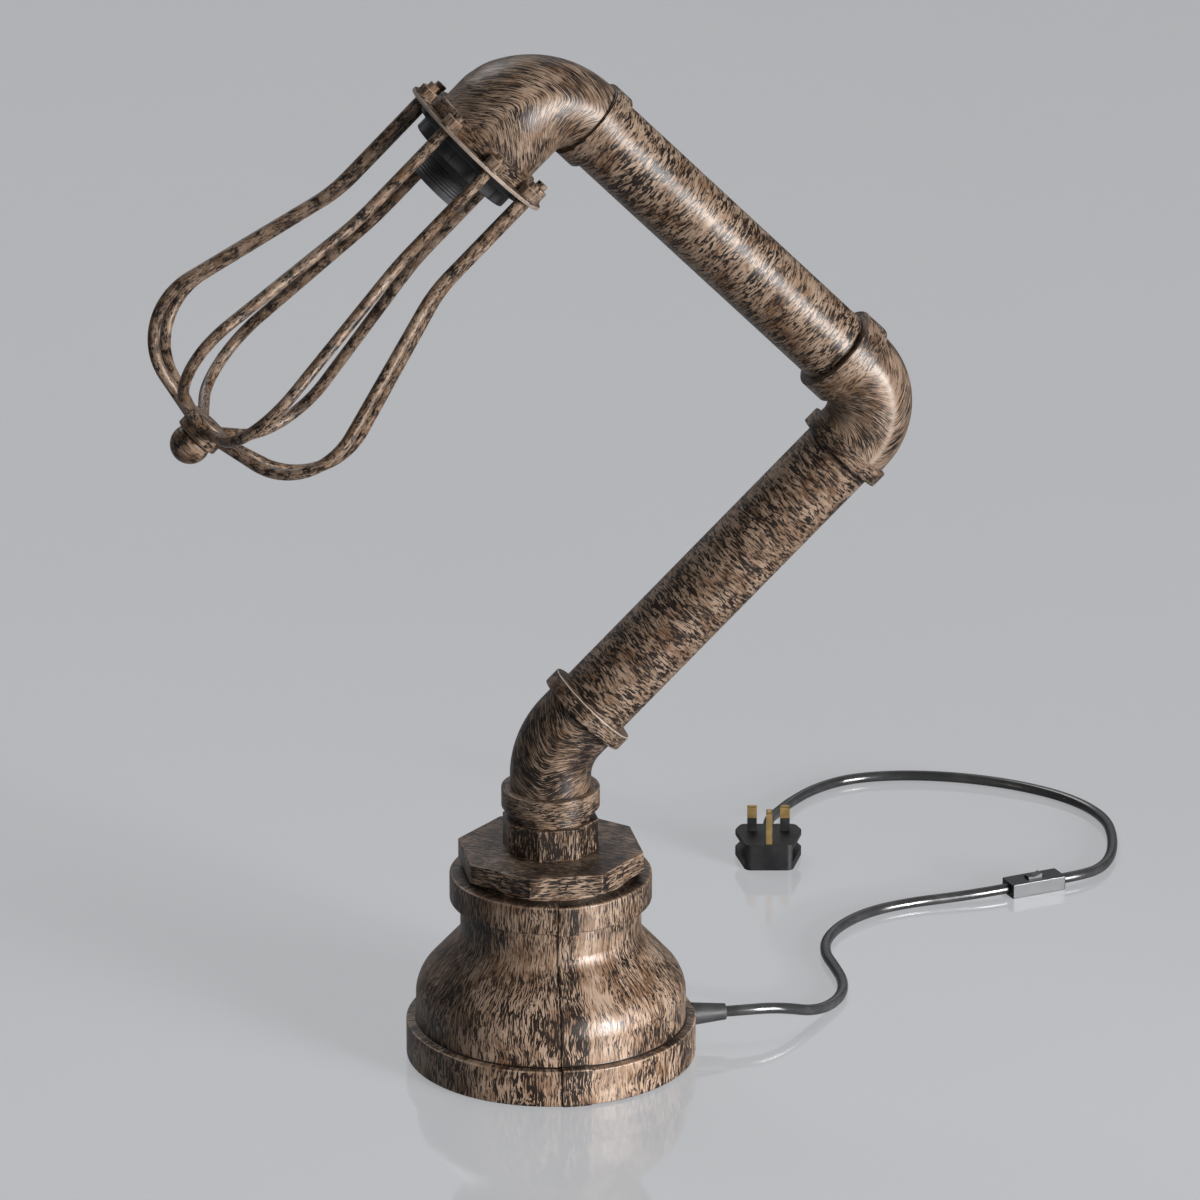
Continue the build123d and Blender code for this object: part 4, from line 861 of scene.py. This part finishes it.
@dataclass
class Studio:
    """Floor, backdrop, soft light and the camera at the photograph's place."""

    eye: Spot = (-0.83445, -4.62398, 2.01825)
    aim: Spot = (0.030586, -0.005729, 0.305517)
    lens: float = 240.57
    sensor: float = 36.0
    clip: Span = (0.1, 60.0)
    air: float = 0.1
    air_tint: Colour = (0.96, 0.98, 1.0)
    floor_reach: float = 9.0
    backdrop_reach: float = 6.0
    backdrop_place: Spot = (0.0, 8.0, 6.0)
    backdrop: StudioFloor = StudioFloor("studio_backdrop", glow=0.48, mirrored=1.0, rough=0.9, rise=(0.6, 5.4))
    boxes: tuple[Softbox, ...] = (
        Softbox("key_softbox", (4.6, -5.3, 1.3), (0.0, 0.0, 0.3), (3.4, 2.4), 580.0),
        Softbox("fill_softbox", (-5.6, -4.0, 1.6), (0.0, 0.0, 0.35), (3.0, 3.0), 10.0),
        Softbox("low_softbox", (1.3, -1.75, 0.3), (0.02, -0.05, -0.03), (0.9, 0.08), 0.6, math.radians(12)),
        Softbox("back_softbox", (-1.2, 3.6, 4.4), (0.0, 0.0, 0.3), (2.4, 2.4), 60.0),
    )

    def build(self) -> None:
        """Builds the floor, the backdrop, the lights and the camera."""
        self._camera()
        self._sheet("floor", self.floor_reach, Matrix(), StudioFloor())
        upright = Matrix.Translation(self.backdrop_place) @ Matrix.Rotation(math.radians(90), 4, "X")
        self._sheet("backdrop", self.backdrop_reach, upright, self.backdrop)
        for box in self.boxes:
            box.hang()
        world = bpy.data.worlds.new("studio_air")
        world.use_nodes = True
        inputs = world.node_tree.nodes["Background"].inputs
        inputs["Color"].default_value = (*self.air_tint, 1.0)
        inputs["Strength"].default_value = self.air
        bpy.context.scene.world = world
        bpy.context.scene.view_settings.view_transform = "Standard"

    def _camera(self) -> None:
        """Sets the camera where the photograph was taken from."""
        data = bpy.data.cameras.new("camera")
        data.lens, data.sensor_width, data.sensor_fit = self.lens, self.sensor, "HORIZONTAL"
        data.clip_start, data.clip_end = self.clip
        camera = add("camera", data)
        point(camera, self.eye, self.aim)
        bpy.context.scene.camera = camera

    @staticmethod
    def _sheet(name: str, reach: float, lie: Matrix, finish: StudioFloor) -> None:
        """Lays the floor, or hangs the backdrop that it mirrors.

        Args:
            name: Name of the object.
            reach: Half the side of the sheet.
            lie: Where the sheet lies.
            finish: What it is made of.
        """
        sheet = bmesh.new()
        bmesh.ops.create_grid(sheet, x_segments=2, y_segments=2, size=reach, matrix=lie)
        mesh = bpy.data.meshes.new(name)
        sheet.to_mesh(mesh)
        sheet.free()
        mesh.materials.append(finish.material())
        staged = add(name, mesh)


@dataclass
class BellBase:
    """Cast bell with a rib front and back, the reducing bush and the nipple."""

    foot: float = 0.092
    wall: float = 0.0857
    neck: float = 0.0573
    collar: float = 0.064
    heights: tuple[float, ...] = (0.001, 0.0248, 0.0518, 0.0833, 0.1057, 0.1241)
    socket: Span = (0.05205, 0.1001)
    throat_bore: float = 0.05
    hollow: float = 0.0795
    cover_seat: Span = (0.08405, 0.005)
    skin: float = 0.004
    brushed_at: float = 0.078
    squeeze: float = 0.09
    # Painted highlight: strength, facing and width of a pale lobe down one side of the bell, where the highlight
    # falls.
    rub_and_sheen: float = 0.38
    sheen_facing: float = math.radians(-76.5)
    sheen_width: float = math.radians(13)
    top_skin: float = 0.0001
    top_rim: float = 0.002
    # Painted shadow: darkening of the collar top under the bush.
    top_painted_shadow: float = -0.7
    rib_arc: float = math.radians(11.5)
    rib_rise: float = 0.0012
    rib_root: float = -0.003
    rib_edge: float = 0.00035
    rib_brushed_at: float = 0.09
    # Painted shade: the rib's ground and its edge lines darker than the bell.
    rib_painted_shade: Span = (-0.2, -0.5)
    rib_shift: Spot = (0.2, 0.0, 0.1)
    rib_stretch: float = 0.9
    sides: int = 8
    edge: float = 0.0009
    bush_flats: float = 0.0554
    bush_span: Span = (0.1279, 0.141)
    bush_slope: float = math.radians(-28)
    shank: Span = (0.03, 0.052)
    shank_span: Span = (0.1005, 0.1289)
    tick: Span = (0.0028, 0.0006)
    tick_rise: float = 0.00004
    tick_slant: float = math.radians(-20)
    nipple_flats: float = 0.02865
    nipple_top: float = 0.1615
    nipple_neck: float = 0.0256
    nipple_bore: float = 0.0188
    nipple_darkening: float = -0.15
    spigot: Spot = (0.02415, 0.1682, 0.1782)

    def build(self, bronze: Material, cast: Material) -> None:
        """Builds the three fittings of the base.

        Args:
            bronze: Finish of the bush and the nipple.
            cast: Finish of the bell, with bolder marks.
        """
        self._bell(cast)
        self._bush(bronze)
        self._nipple(bronze)

    def _outline(self, grow: float) -> list[Corner]:
        """Gives the bell's outer section.

        Args:
            grow: How far it is grown outwards.

        Returns:
            Its corners, from the foot up.
        """
        rim, step, shoulder, throat, lip, top = self.heights
        return [
            Corner(self.foot + grow, rim, 0.0012),
            Corner(self.foot + grow, step + grow, 0.0012, 0.35),
            # Painted shade in the concave joint of foot step and wall.
            Corner(self.wall + grow, step + grow, 0.001, -1.0),
            Corner(self.wall + grow, shoulder, 0.024),
            Corner(self.neck + grow, throat, 0.0127),
            # Painted shade in the concave joint under the collar.
            Corner(self.neck + grow, lip - grow, 0.001, -0.8),
            Corner(self.collar + grow, lip - grow, 0.0015),
            Corner(self.collar + grow, top, 0.0015, 0.3),
        ]

    def _hollow(self) -> list[Corner]:
        """Gives the bell's inner section.

        Returns:
            Its corners, from the top down.
        """
        rim, _, shoulder, throat, _, top = self.heights
        (socket, ledge), (seat, sill) = self.socket, self.cover_seat
        return [
            Corner(socket, top), Corner(socket, ledge), Corner(self.throat_bore, ledge),
            Corner(self.throat_bore, throat - self.skin), Corner(self.hollow, shoulder - self.skin),
            Corner(self.hollow, sill), Corner(seat, sill), Corner(seat, rim),
        ]

    def _bell(self, cast: Material) -> None:
        """Builds the bell, with a painted highlight down one side and painted shadow on the collar top under the
        bush.

        Args:
            cast: Its finish.
        """
        bell = Stock(self.squeeze)
        bell.turn(self._outline(0.0) + self._hollow(), steps=192)
        bell.brush(Lay.ALONG, self.brushed_at)
        for vert in bell.mesh.verts:
            if vert.co.z <= self.heights[-1] - self.top_skin:
                # Painted highlight: a pale lobe down one side.
                off = math.atan2(vert.co.y, vert.co.x) - self.sheen_facing
                vert[bell.wear_and_light] = vert[bell.wear_and_light] or self.rub_and_sheen * math.exp(-((off / self.sheen_width) ** 2))
            elif math.hypot(vert.co.x, vert.co.y) < self.collar - self.top_rim:
                # Painted shadow on the collar top under the bush.
                vert[bell.wear_and_light] = self.top_painted_shadow
        for facing in (-math.pi / 2, math.pi / 2):
            bell.take(self._rib(facing))
        bell.finish("bell", Body.BASE, cast, "base_bell")

    def _rib(self, facing: float) -> Stock:
        """Builds one rib.

        Args:
            facing: Angle that the rib faces.

        Returns:
            The rib, in its place.
        """
        rib = Stock(self.squeeze)
        inner = [Corner(c.radius, c.height) for c in reversed(self._outline(self.rib_root))]
        rib.turn(self._outline(self.rib_rise) + inner, 8, self.rib_arc, facing - self.rib_arc / 2)
        rib.brush(Lay.ALONG, self.rib_brushed_at)
        ground, edges = self.rib_painted_shade
        # Painted shade: the whole rib darker than the bell beside it.
        rib.weather_and_shade(ground)
        flanks = [f for f in rib.mesh.faces if len(f.verts) > 12]
        # Painted shade: dark lines along the rib's edges.
        rib.round_edges([e for f in flanks for e in f.edges], self.rib_edge, 2, edges)
        for vert in rib.mesh.verts:
            x, y, z = vert[rib.grain]
            vert[rib.grain] = Vector((x, y, z * self.rib_stretch)) + Vector(self.rib_shift)
        return rib

    def _bush(self, bronze: Material) -> None:
        """Builds the bush with a tick on each flat.

        Args:
            bronze: Its finish.
        """
        bush = Stock()
        bush.prism(self.sides, self.bush_flats, self.bush_span, self.edge, wear_and_light=0.3)
        bush.brush(Lay.ROUND, self.bush_flats)
        for number in range(self.sides):
            self._tick(bush, math.tau * number / self.sides)
        bush.brush_flat(self.bush_slope)
        bush.take(ring_of(*self.shank, self.shank_span))
        bush.finish("bush", Body.BASE, bronze, "reducing_bush")

    def _tick(self, bush: Stock, facing: float) -> None:
        """Scores one slanting, grimed tick into the middle of a flat.

        Args:
            bush: The bush under work.
            facing: Angle that the flat faces.
        """
        middle = (self.bush_flats + self.tick_rise, 0.0, sum(self.bush_span) / 2)
        outwards = Matrix.Rotation(facing, 4, "Z") @ Matrix.Translation(middle) @ Matrix.Rotation(math.pi / 2, 4, "Y")
        lie = outwards @ Matrix.Rotation(self.tick_slant, 4, "Z") @ Matrix.Diagonal((*self.tick, 1.0, 1.0))
        made = bmesh.ops.create_grid(bush.mesh, x_segments=3, y_segments=1, size=1.0, matrix=lie)
        for vert in made["verts"]:
            vert[bush.wear_and_light] = -1.0

    def _nipple(self, bronze: Material) -> None:
        """Builds the nipple with its round neck and the spigot in the elbow.

        Args:
            bronze: Its finish.
        """
        nipple = Stock()
        nipple.prism(self.sides, self.nipple_flats, (self.bush_span[1], self.nipple_top), self.edge, wear_and_light=0.2)
        nipple.brush(Lay.ALONG, self.nipple_flats)
        nipple.brush_flat()
        # Darkens the whole nipple.
        nipple.weather_and_shade(self.nipple_darkening)
        tail = Stock()
        root = self.nipple_top - 0.002
        radius, start, stop = self.spigot
        tail.turn([Corner(self.nipple_bore, root), Corner(self.nipple_neck, root),
                   Corner(self.nipple_neck, start, 0.0005), Corner(radius, start), Corner(radius, stop),
                   Corner(self.nipple_bore, stop)])
        tail.brush(Lay.ROUND, radius)
        nipple.take(tail)
        nipple.finish("nipple_fitting", Body.BASE, bronze, "nipple")


@dataclass
class PipeArm:
    """An elbow that turns on the piece below it, and the pipe that it holds."""

    body: Body
    elbow: tuple[str, str]
    tube: tuple[str, str]
    radius: float
    bend: float
    inlet: Mouth
    outlet: Mouth
    bones: Fishbone
    pipe_span: Span
    pipe: Span = (0.02095, 0.02415)
    pipe_squeeze: float = 0.2
    segments: int = 96

    def build(self, hairy: Material, wavy: Material) -> None:
        """Builds the elbow and the pipe.

        Args:
            hairy: Finish of the elbow, with fine marks.
            wavy: Finish of the pipe, with curling marks round it.
        """
        elbow = Rod(self.radius, self.segments, Lay.ROUND, ELBOW_SQUEEZE)
        foot = self.inlet.seat.at(self.inlet.span[0] + self.inlet.depth)
        tip = self.outlet.seat.at(self.outlet.span[1] - self.outlet.depth)
        elbow.sweep([(spot.x, spot.z) for spot in (foot, self.outlet.seat.point, tip)], [self.bend])
        elbow.comb(self.bones)
        elbow.take(self.inlet.band())
        elbow.take(self.outlet.band())
        name, node = self.elbow
        elbow.finish(name, self.body, hairy, node)
        pipe = ring_of(*self.pipe, self.pipe_span, squeeze=self.pipe_squeeze)
        pipe.place(self.outlet.seat.lie())
        name, node = self.tube
        pipe.finish(name, self.body, wavy, node)


@dataclass
class LowerArm(PipeArm):
    """Bottom elbow that turns on the nipple, and the lower pipe."""

    body: Body = Body.LOWER_ARM
    elbow: tuple[str, str] = ("lower_elbow", "bottom_elbow")
    tube: tuple[str, str] = ("lower_tube", "lower_pipe")
    radius: float = 0.0256
    bend: float = 0.045
    inlet: Mouth = Mouth(Seat(ORIGIN, UP), SWIVEL_BORE, 0.03105, (0.1685, 0.1815), 0.25)
    outlet: Mouth = Mouth(Seat(BOTTOM_CORNER, LOWER_WAY), FIXED_BORE, 0.03105, (0.0281, 0.0387), 1.0, 0.002)
    # Painted shade: ground -0.17 darkens the whole lower elbow.
    bones: Fishbone = Fishbone(slant=0.55, rub_and_sheen=0.12, ground=-0.17)
    pipe_span: Span = (0.0287, 0.2688)


@dataclass
class UpperArm(PipeArm):
    """Middle elbow that turns on the lower pipe, and the upper pipe."""

    body: Body = Body.UPPER_ARM
    elbow: tuple[str, str] = ("upper_elbow", "middle_elbow")
    tube: tuple[str, str] = ("upper_tube", "upper_pipe")
    radius: float = 0.0265
    bend: float = 0.033
    inlet: Mouth = Mouth(Seat(MIDDLE_CORNER, LOWER_WAY), SWIVEL_BORE, 0.0298, (-0.0467, -0.0361))
    outlet: Mouth = Mouth(Seat(MIDDLE_CORNER, UPPER_WAY), FIXED_BORE, 0.0296, (0.035, 0.0515))
    # Painted highlight: the pale spine and raised ground brighten the middle elbow's flank.
    bones: Fishbone = Fishbone(rub_and_sheen=0.5, ground=0.06)
    pipe_span: Span = (0.0415, 0.2698)


@dataclass
class HeadElbow:
    """Reducing elbow whose round sections widen as they turn about the inner corner."""

    pivot: Spot = (0.004525, 0, 0.598388)
    arms: Span = (0.0262, 0.0375)
    radii: Span = (0.0252, 0.0357)
    power: float = 1.75
    ease: float = 0.14
    stations: tuple[float, ...] = (0.002, 0.004, 0.006, 0.0084, 0.0296)
    gores: int = 40
    segments: int = 112
    # Painted shade: the band's far rim at -0.9 darkens the groove where it meets the elbow.
    inlet: Mouth = Mouth(Seat(HEAD_CORNER, UPPER_WAY), SWIVEL_BORE, 0.0274, (-0.0506, -0.0369), -0.9)
    outlet: Mouth = Mouth(Seat(HEAD_CORNER, CAGE_WAY), 0.0315, 0.039, (0.0481, 0.0578))
    bones: Fishbone = Fishbone()

    def _swell(self, turn: float) -> float:
        """Gives how far a section has widened, from 0 to 1.

        Args:
            turn: Share of the bend that lies behind the section, or more than 1 in the straight outlet.

        Returns:
            The share of the widening, with the corner between bend and outlet rounded.
        """
        first = 1.0 - self.ease
        if turn <= first:
            return turn**self.power
        left = max(0.0, 1.0 - (turn - first) / (2 * self.ease))
        return 1.0 - (1.0 - first**self.power) * left**2

    def build(self, hairy: Material) -> None:
        """Builds the elbow with its two bands.

        Args:
            hairy: Finish with fine marks that lean away from the flank's middle line.
        """
        elbow = Stock(ELBOW_SQUEEZE)
        before: list[Edge] = []
        run = 0.0
        quarter = math.pi / 2 * self.arms[1]
        bend = [(number / self.gores, 0.0) for number in range(self.gores + 1)]
        for share, reach in bend + [(1.0, station) for station in self.stations]:
            swell = self._swell(share + reach / quarter)
            arm, radius = (low + (high - low) * swell for low, high in (self.arms, self.radii))
            lean = -math.pi / 4 - math.pi / 2 * share
            along = Vector((math.sin(lean), 0, math.cos(lean)))
            outward = Vector((math.cos(lean), 0, -math.sin(lean)))
            centre = Vector(self.pivot) + outward * arm + along * reach
            ring = bmesh.ops.create_circle(elbow.mesh, cap_ends=False, radius=radius, segments=self.segments,
                                           matrix=Seat(centre, along).lie())["verts"]
            for vert in ring:
                out = vert.co - centre
                away = out.dot(outward) / radius
                vert[elbow.grain] = (elbow.squeeze * radius * away, elbow.squeeze * out.y,
                                     run + reach + radius * self.bones.lean(away))
                vert[elbow.wear_and_light] = self.bones.wear_and_light(away)
            edges = list({e for v in ring for e in v.link_edges})
            if before:
                bmesh.ops.bridge_loops(elbow.mesh, edges=before + edges)
            before = edges
            if share < 1.0:
                run += math.pi / 2 / self.gores * arm
        elbow.close()
        elbow.take(self.inlet.band())
        elbow.take(self.outlet.band())
        elbow.finish("reducing_elbow", Body.HEAD, hairy, "head_elbow")


@dataclass
class Cage:
    """Plate, eight wires with nuts behind it, the hub and the ball."""

    seat: Seat = Seat(HEAD_CORNER, CAGE_WAY, Vector((0, -1, 0)))
    plate: Span = (0.0045, 0.053)
    plate_span: Span = (0.0578, 0.0602)
    plate_edge: float = 0.0004
    plate_wear: float = 0.55
    rim_skin: float = 0.00005
    wires: int = 8
    wire: float = 0.0036
    wire_shift: float = 0.37
    wire_squeeze: float = 0.25
    mouth: float = 0.047
    path: tuple[Span, ...] = ((0.047, -0.013), (0.047, 0.078), (0.0875, 0.22), (0.0104, 0.2388))
    rounds: Span = (0.09, 0.045)
    washer: float = 0.001
    washer_edge: float = 0.0002
    nut_radius: float = 0.0065
    nut_height: float = 0.006
    nut_edge: float = 0.0006
    nut_wear: Span = (0.25, 0.45)
    hub: Span = (0.003, 0.0145)
    hub_span: Span = (0.233, 0.247)
    hub_edge: float = 0.0008
    hub_wear: float = 0.3
    ball: float = 0.0124
    ball_reach: float = 0.2522

    def build(self, bronze: Material, flecked: Material) -> None:
        """Builds the cage.

        Args:
            bronze: Finish of the plate and the washers.
            flecked: Mottled finish of the nuts, the wires, the hub and the ball.
        """
        line = self.seat.lie()
        turns = [line @ Matrix.Rotation(math.tau * number / self.wires, 4, "Z") for number in range(self.wires)]
        self._plate(line, bronze)
        self._fasteners(turns, bronze, flecked)
        face = self.plate_span[1]
        for number, turn in enumerate(turns):
            rod = Rod(self.wire, 24, Lay.ALONG, self.wire_squeeze, self.wire_shift * number)
            rod.sweep([(radius, face + reach) for radius, reach in self.path], self.rounds)
            rod.place(turn)
            rod.finish(f"wire_{number + 1}", Body.HEAD, flecked, f"cage_wire_{number + 1}")
        low, high = (face + end for end in self.hub_span)
        hub = ring_of(*self.hub, (low, high), (self.hub_edge,) * 2, (self.hub_wear,) * 2, 64)
        hub.place(line)
        hub.finish("wire_hub", Body.HEAD, flecked, "cage_hub")
        ball = Stock()
        bmesh.ops.create_uvsphere(ball.mesh, u_segments=64, v_segments=40, radius=self.ball,
                                  matrix=Matrix.Translation((0, 0, face + self.ball_reach)))
        everything = ball.mesh.verts[:] + ball.mesh.edges[:] + ball.mesh.faces[:]
        bmesh.ops.bisect_plane(ball.mesh, geom=everything, plane_co=(0, 0, high), plane_no=-UP, clear_outer=True)
        ball.close()
        ball.brush(Lay.ROUND, self.ball)
        ball.place(line)
        ball.finish("ball", Body.HEAD, flecked, "ball_finial")

    def _plate(self, line: Matrix, bronze: Material) -> None:
        """Builds the plate, paler from rubbing all along its rim.

        Args:
            line: The cage's axis.
            bronze: Its finish.
        """
        plate = ring_of(*self.plate, self.plate_span, (self.plate_edge,) * 2, (self.plate_wear,) * 2, 160)
        for vert in plate.mesh.verts:
            if math.hypot(vert.co.x, vert.co.y) > self.plate[1] - self.rim_skin:
                vert[plate.wear_and_light] = self.plate_wear
        plate.place(line)
        plate.finish("mouth_plate", Body.HEAD, bronze, "cage_plate")

    def _fasteners(self, turns: Sequence[Matrix], bronze: Material, flecked: Material) -> None:
        """Builds the washers and the nuts behind the plate.

        Args:
            turns: The cage's axis, turned to each wire.
            bronze: Finish of the washers.
            flecked: Finish of the nuts.
        """
        start = self.plate_span[0]
        back = start - self.washer
        ground, edges = self.nut_wear
        sixth = math.pi / 6
        washers, nuts = Stock(), Stock()
        for number, turn in enumerate(turns):
            seat = turn @ Matrix.Translation((self.mouth, 0, 0))
            washer = ring_of(self.wire, self.nut_radius, (back, start), (self.washer_edge, 0.0), (0.5, 0.0), 40)
            washer.place(seat)
            washers.take(washer)
            nut = Stock()
            nut.prism(6, self.nut_radius * math.cos(sixth), (back - self.nut_height, back), self.nut_edge, edges,
                      sixth * number)
            nut.brush(Lay.ALONG, self.nut_radius)
            nut.weather_and_shade(ground)
            nut.place(seat)
            nuts.take(nut)
        washers.finish("stud_washers", Body.HEAD, bronze, "cage_washers")
        nuts.finish("stud_nuts", Body.HEAD, flecked, "cage_nuts")


@dataclass
class CordSet:
    """The free cord in its two stretches, from the base to the switch and from the switch to the plug."""

    radius: float = 0.0035
    to_switch: tuple[Spot, ...] = (
        (0.113, 0.0, 0.0185), (0.1265, 0.0, 0.0185), (0.1415, 0.0025, 0.0176), (0.157, 0.008, 0.0138),
        (0.172, 0.0165, 0.0074), (0.187, 0.0295, 0.0038), (0.1995, 0.047, 0.0035), (0.2055, 0.07, 0.0035),
        (0.205, 0.095, 0.0035), (0.2035, 0.119, 0.0035), (0.21, 0.143, 0.0035), (0.226, 0.166, 0.0035),
        (0.249, 0.184, 0.0035), (0.278, 0.1935, 0.0035), (0.308, 0.196, 0.004), (0.330663, 0.198426, 0.005),
        (0.346146, 0.202459, 0.005),
    )
    to_plug: tuple[Spot, ...] = (
        (0.384854, 0.212541, 0.005), (0.401305, 0.216826, 0.005), (0.4165, 0.228, 0.004), (0.429, 0.249, 0.0035),
        (0.4385, 0.281, 0.0035), (0.4425, 0.317, 0.0035), (0.431, 0.3525, 0.0035), (0.405, 0.3835, 0.0035),
        (0.368, 0.4085, 0.0035), (0.327, 0.4225, 0.0035), (0.288, 0.4235, 0.0035), (0.259, 0.409, 0.0035),
        (0.237, 0.3865, 0.0036), (0.223, 0.3625, 0.0064), (0.211309, 0.34174, 0.00915), (0.207998, 0.324047, 0.00915),
    )
    lengths: tuple[float, float] = (0.358, 0.465)
    switch_pieces: tuple[str, ...] = ("switch_lower_shell", "switch_upper_shell", "switch_contacts", "switch_screws",
                                      "rocker_pin", "switch_rocker")
    plug_pieces: tuple[str, ...] = ("plug_body", "plug_earth_pin", "plug_line_pins", "plug_pin_sleeves")

    def build(self, sheath: Material) -> None:
        """Args:
            sheath: Finish of the cord.
        """
        first = self._stretch("cord_to_switch", self.to_switch, sheath, "flex_to_switch")
        second = self._stretch("cord_to_plug", self.to_plug, sheath, "flex_to_plug")

    def _stretch(self, name: str, route: Sequence[Spot], sheath: Material, node: str) -> bpy.types.Object:
        """Lays one stretch of cord.

        Args:
            name: The piece's name.
            route: Points that steer it.
            sheath: Its finish.
            node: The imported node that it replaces.

        Returns:
            The cord.
        """
        data = bpy.data.curves.new(name, "CURVE")
        data.dimensions = "3D"
        data.bevel_depth, data.bevel_resolution, data.use_fill_caps = self.radius, 6, True
        data.resolution_u = 16
        spline = data.splines.new("NURBS")
        spline.points.add(len(route) - 1)
        for knot, spot in zip(spline.points, route):
            knot.co = (*spot, 1.0)
        spline.order_u = 3
        spline.use_endpoint_u = True
        data.materials.append(sheath)
        made = add(name, data)
        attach(made, Body.BASE.value)
        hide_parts(node)
        log.info("%s: %d route points", name, len(route))
        return made


@dataclass
class Dresser:
    """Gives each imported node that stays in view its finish."""

    nodes: dict[str, bpy.types.Object]
    plan: tuple[tuple[Mottled, tuple[str, ...]], ...] = (
        (Moulding(name="holder_moulding", colour=(0.06, 0.06, 0.063), pale=(0.1, 0.1, 0.104), rough=(0.43, 0.55)),
         ("holder_base", "holder_cover", "holder_insulator")),
        # The switch and the rocker carry a painted reflection on their long sides.
        (SheenSidedMoulding(name="switch_moulding", rough=(0.17, 0.29)), ("switch_lower_shell", "switch_upper_shell")),
        (SheenSidedMoulding(name="rocker_moulding", rough=(0.15, 0.27), reach=0.0029), ("switch_rocker",)),
        (Moulding(name="plug_moulding", colour=(0.008, 0.008, 0.009), pale=(0.016, 0.016, 0.017), rough=(0.41, 0.53),
                  grain=0.0008, depth=0.00006), ("plug_body", "plug_pin_sleeves")),
        (Moulding(name="gland_moulding", colour=(0.03, 0.03, 0.032), pale=(0.05, 0.05, 0.052), rough=(0.4, 0.52)),
         ("cord_gland", "gland_nut")),
        (BareMetal(name="pin_brass", colour=(0.79, 0.55, 0.22), pale=(0.6, 0.4, 0.17), rough=(0.32, 0.52)),
         ("plug_earth_pin", "plug_line_pins")),
        (BareMetal(name="contact_brass", colour=(0.76, 0.54, 0.24), pale=(0.5, 0.34, 0.16), rough=(0.28, 0.48)),
         ("screw_shell", "centre_contact", "switch_contacts")),
        (BareMetal(name="zinc_screw", colour=(0.6, 0.6, 0.61), pale=(0.42, 0.42, 0.43), rough=(0.34, 0.54)),
         ("plate_screws", "holder_screws", "switch_screws", "rocker_pin", "cover_screws")),
        (RoughCast(name="foot_felt", colour=(0.012, 0.012, 0.013), pale=(0.03, 0.03, 0.032), rough=(0.9, 0.98),
                   patch=0.0012, grain=0.0012, depth=0.00036), ("foot_pad",)),
        (RoughCast(name="cover_sheet", colour=(0.016, 0.016, 0.016), pale=(0.03, 0.03, 0.03), rough=(0.47, 0.55),
                   metallic=0.4, patch=0.004, grain=0.004, depth=0.0012), ("cover_plate",)),
        (RoughCast(name="raw_iron", colour=(0.05, 0.05, 0.05), pale=(0.12, 0.11, 0.1), rough=(0.62, 0.7),
                   metallic=0.8, patch=0.005, grain=0.005, depth=0.0015), ("ballast",)),
        (Sheath(name="lead_sheath"), ("base_flex", "lower_flex", "upper_flex", "head_flex")),
    )

    def dress(self) -> None:
        """Puts each finish on its nodes."""
        for finish, names in self.plan:
            material = finish.material()
            for name in names:
                mesh = self.nodes[name].data
                mesh.materials.clear()
                mesh.materials.append(material)
                log.info("%s: dressed with %s", name, material.name)


def main() -> None:
    """Loads the frame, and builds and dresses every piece."""
    logging.basicConfig(level=logging.INFO, format="%(name)s %(message)s")
    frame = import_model()
    Studio().build()
    cast = AgedBronze("bronze_cast", mark=0.0007, curl=0.3, sway=(0.007, 0.007, 0.0006), blotch_size=0.022,
                      rough=0.52).material()
    wavy = AgedBronze("bronze_pipe", mark=0.00115, curl=0.9, sway=(0.0006, 0.0006, 0.005), bare=0.485,
                      blotch=0.4).material()
    hairy = AgedBronze("bronze_elbow", mark=0.00044, curl=0.2, sway=(0.0002, 0.0002, 0.002), bare=0.49,
                       blotch_size=0.016).material()
    bronze = AgedBronze("bronze_fitting", mark=0.0006, curl=0.4, sway=(0.001, 0.001, 0.001), bare=0.53,
                        blotch=0.4, blotch_size=0.018).material()
    flecked = AgedBronze("bronze_wire", mark=0.0006, curl=0.9, sway=(0.002, 0.002, 0.0005), bare=0.465, soft=0.03,
                         blotch=0.85, blotch_size=0.007).material()
    CordSet().build(Sheath(name="cord_sheath").material())
    BellBase().build(bronze, cast)
    LowerArm().build(hairy, wavy)
    UpperArm().build(hairy, wavy)
    HeadElbow().build(hairy)
    Cage().build(bronze, flecked)
    Dresser(frame["nodes"]).dress()


if __name__ == "__main__":
    main()
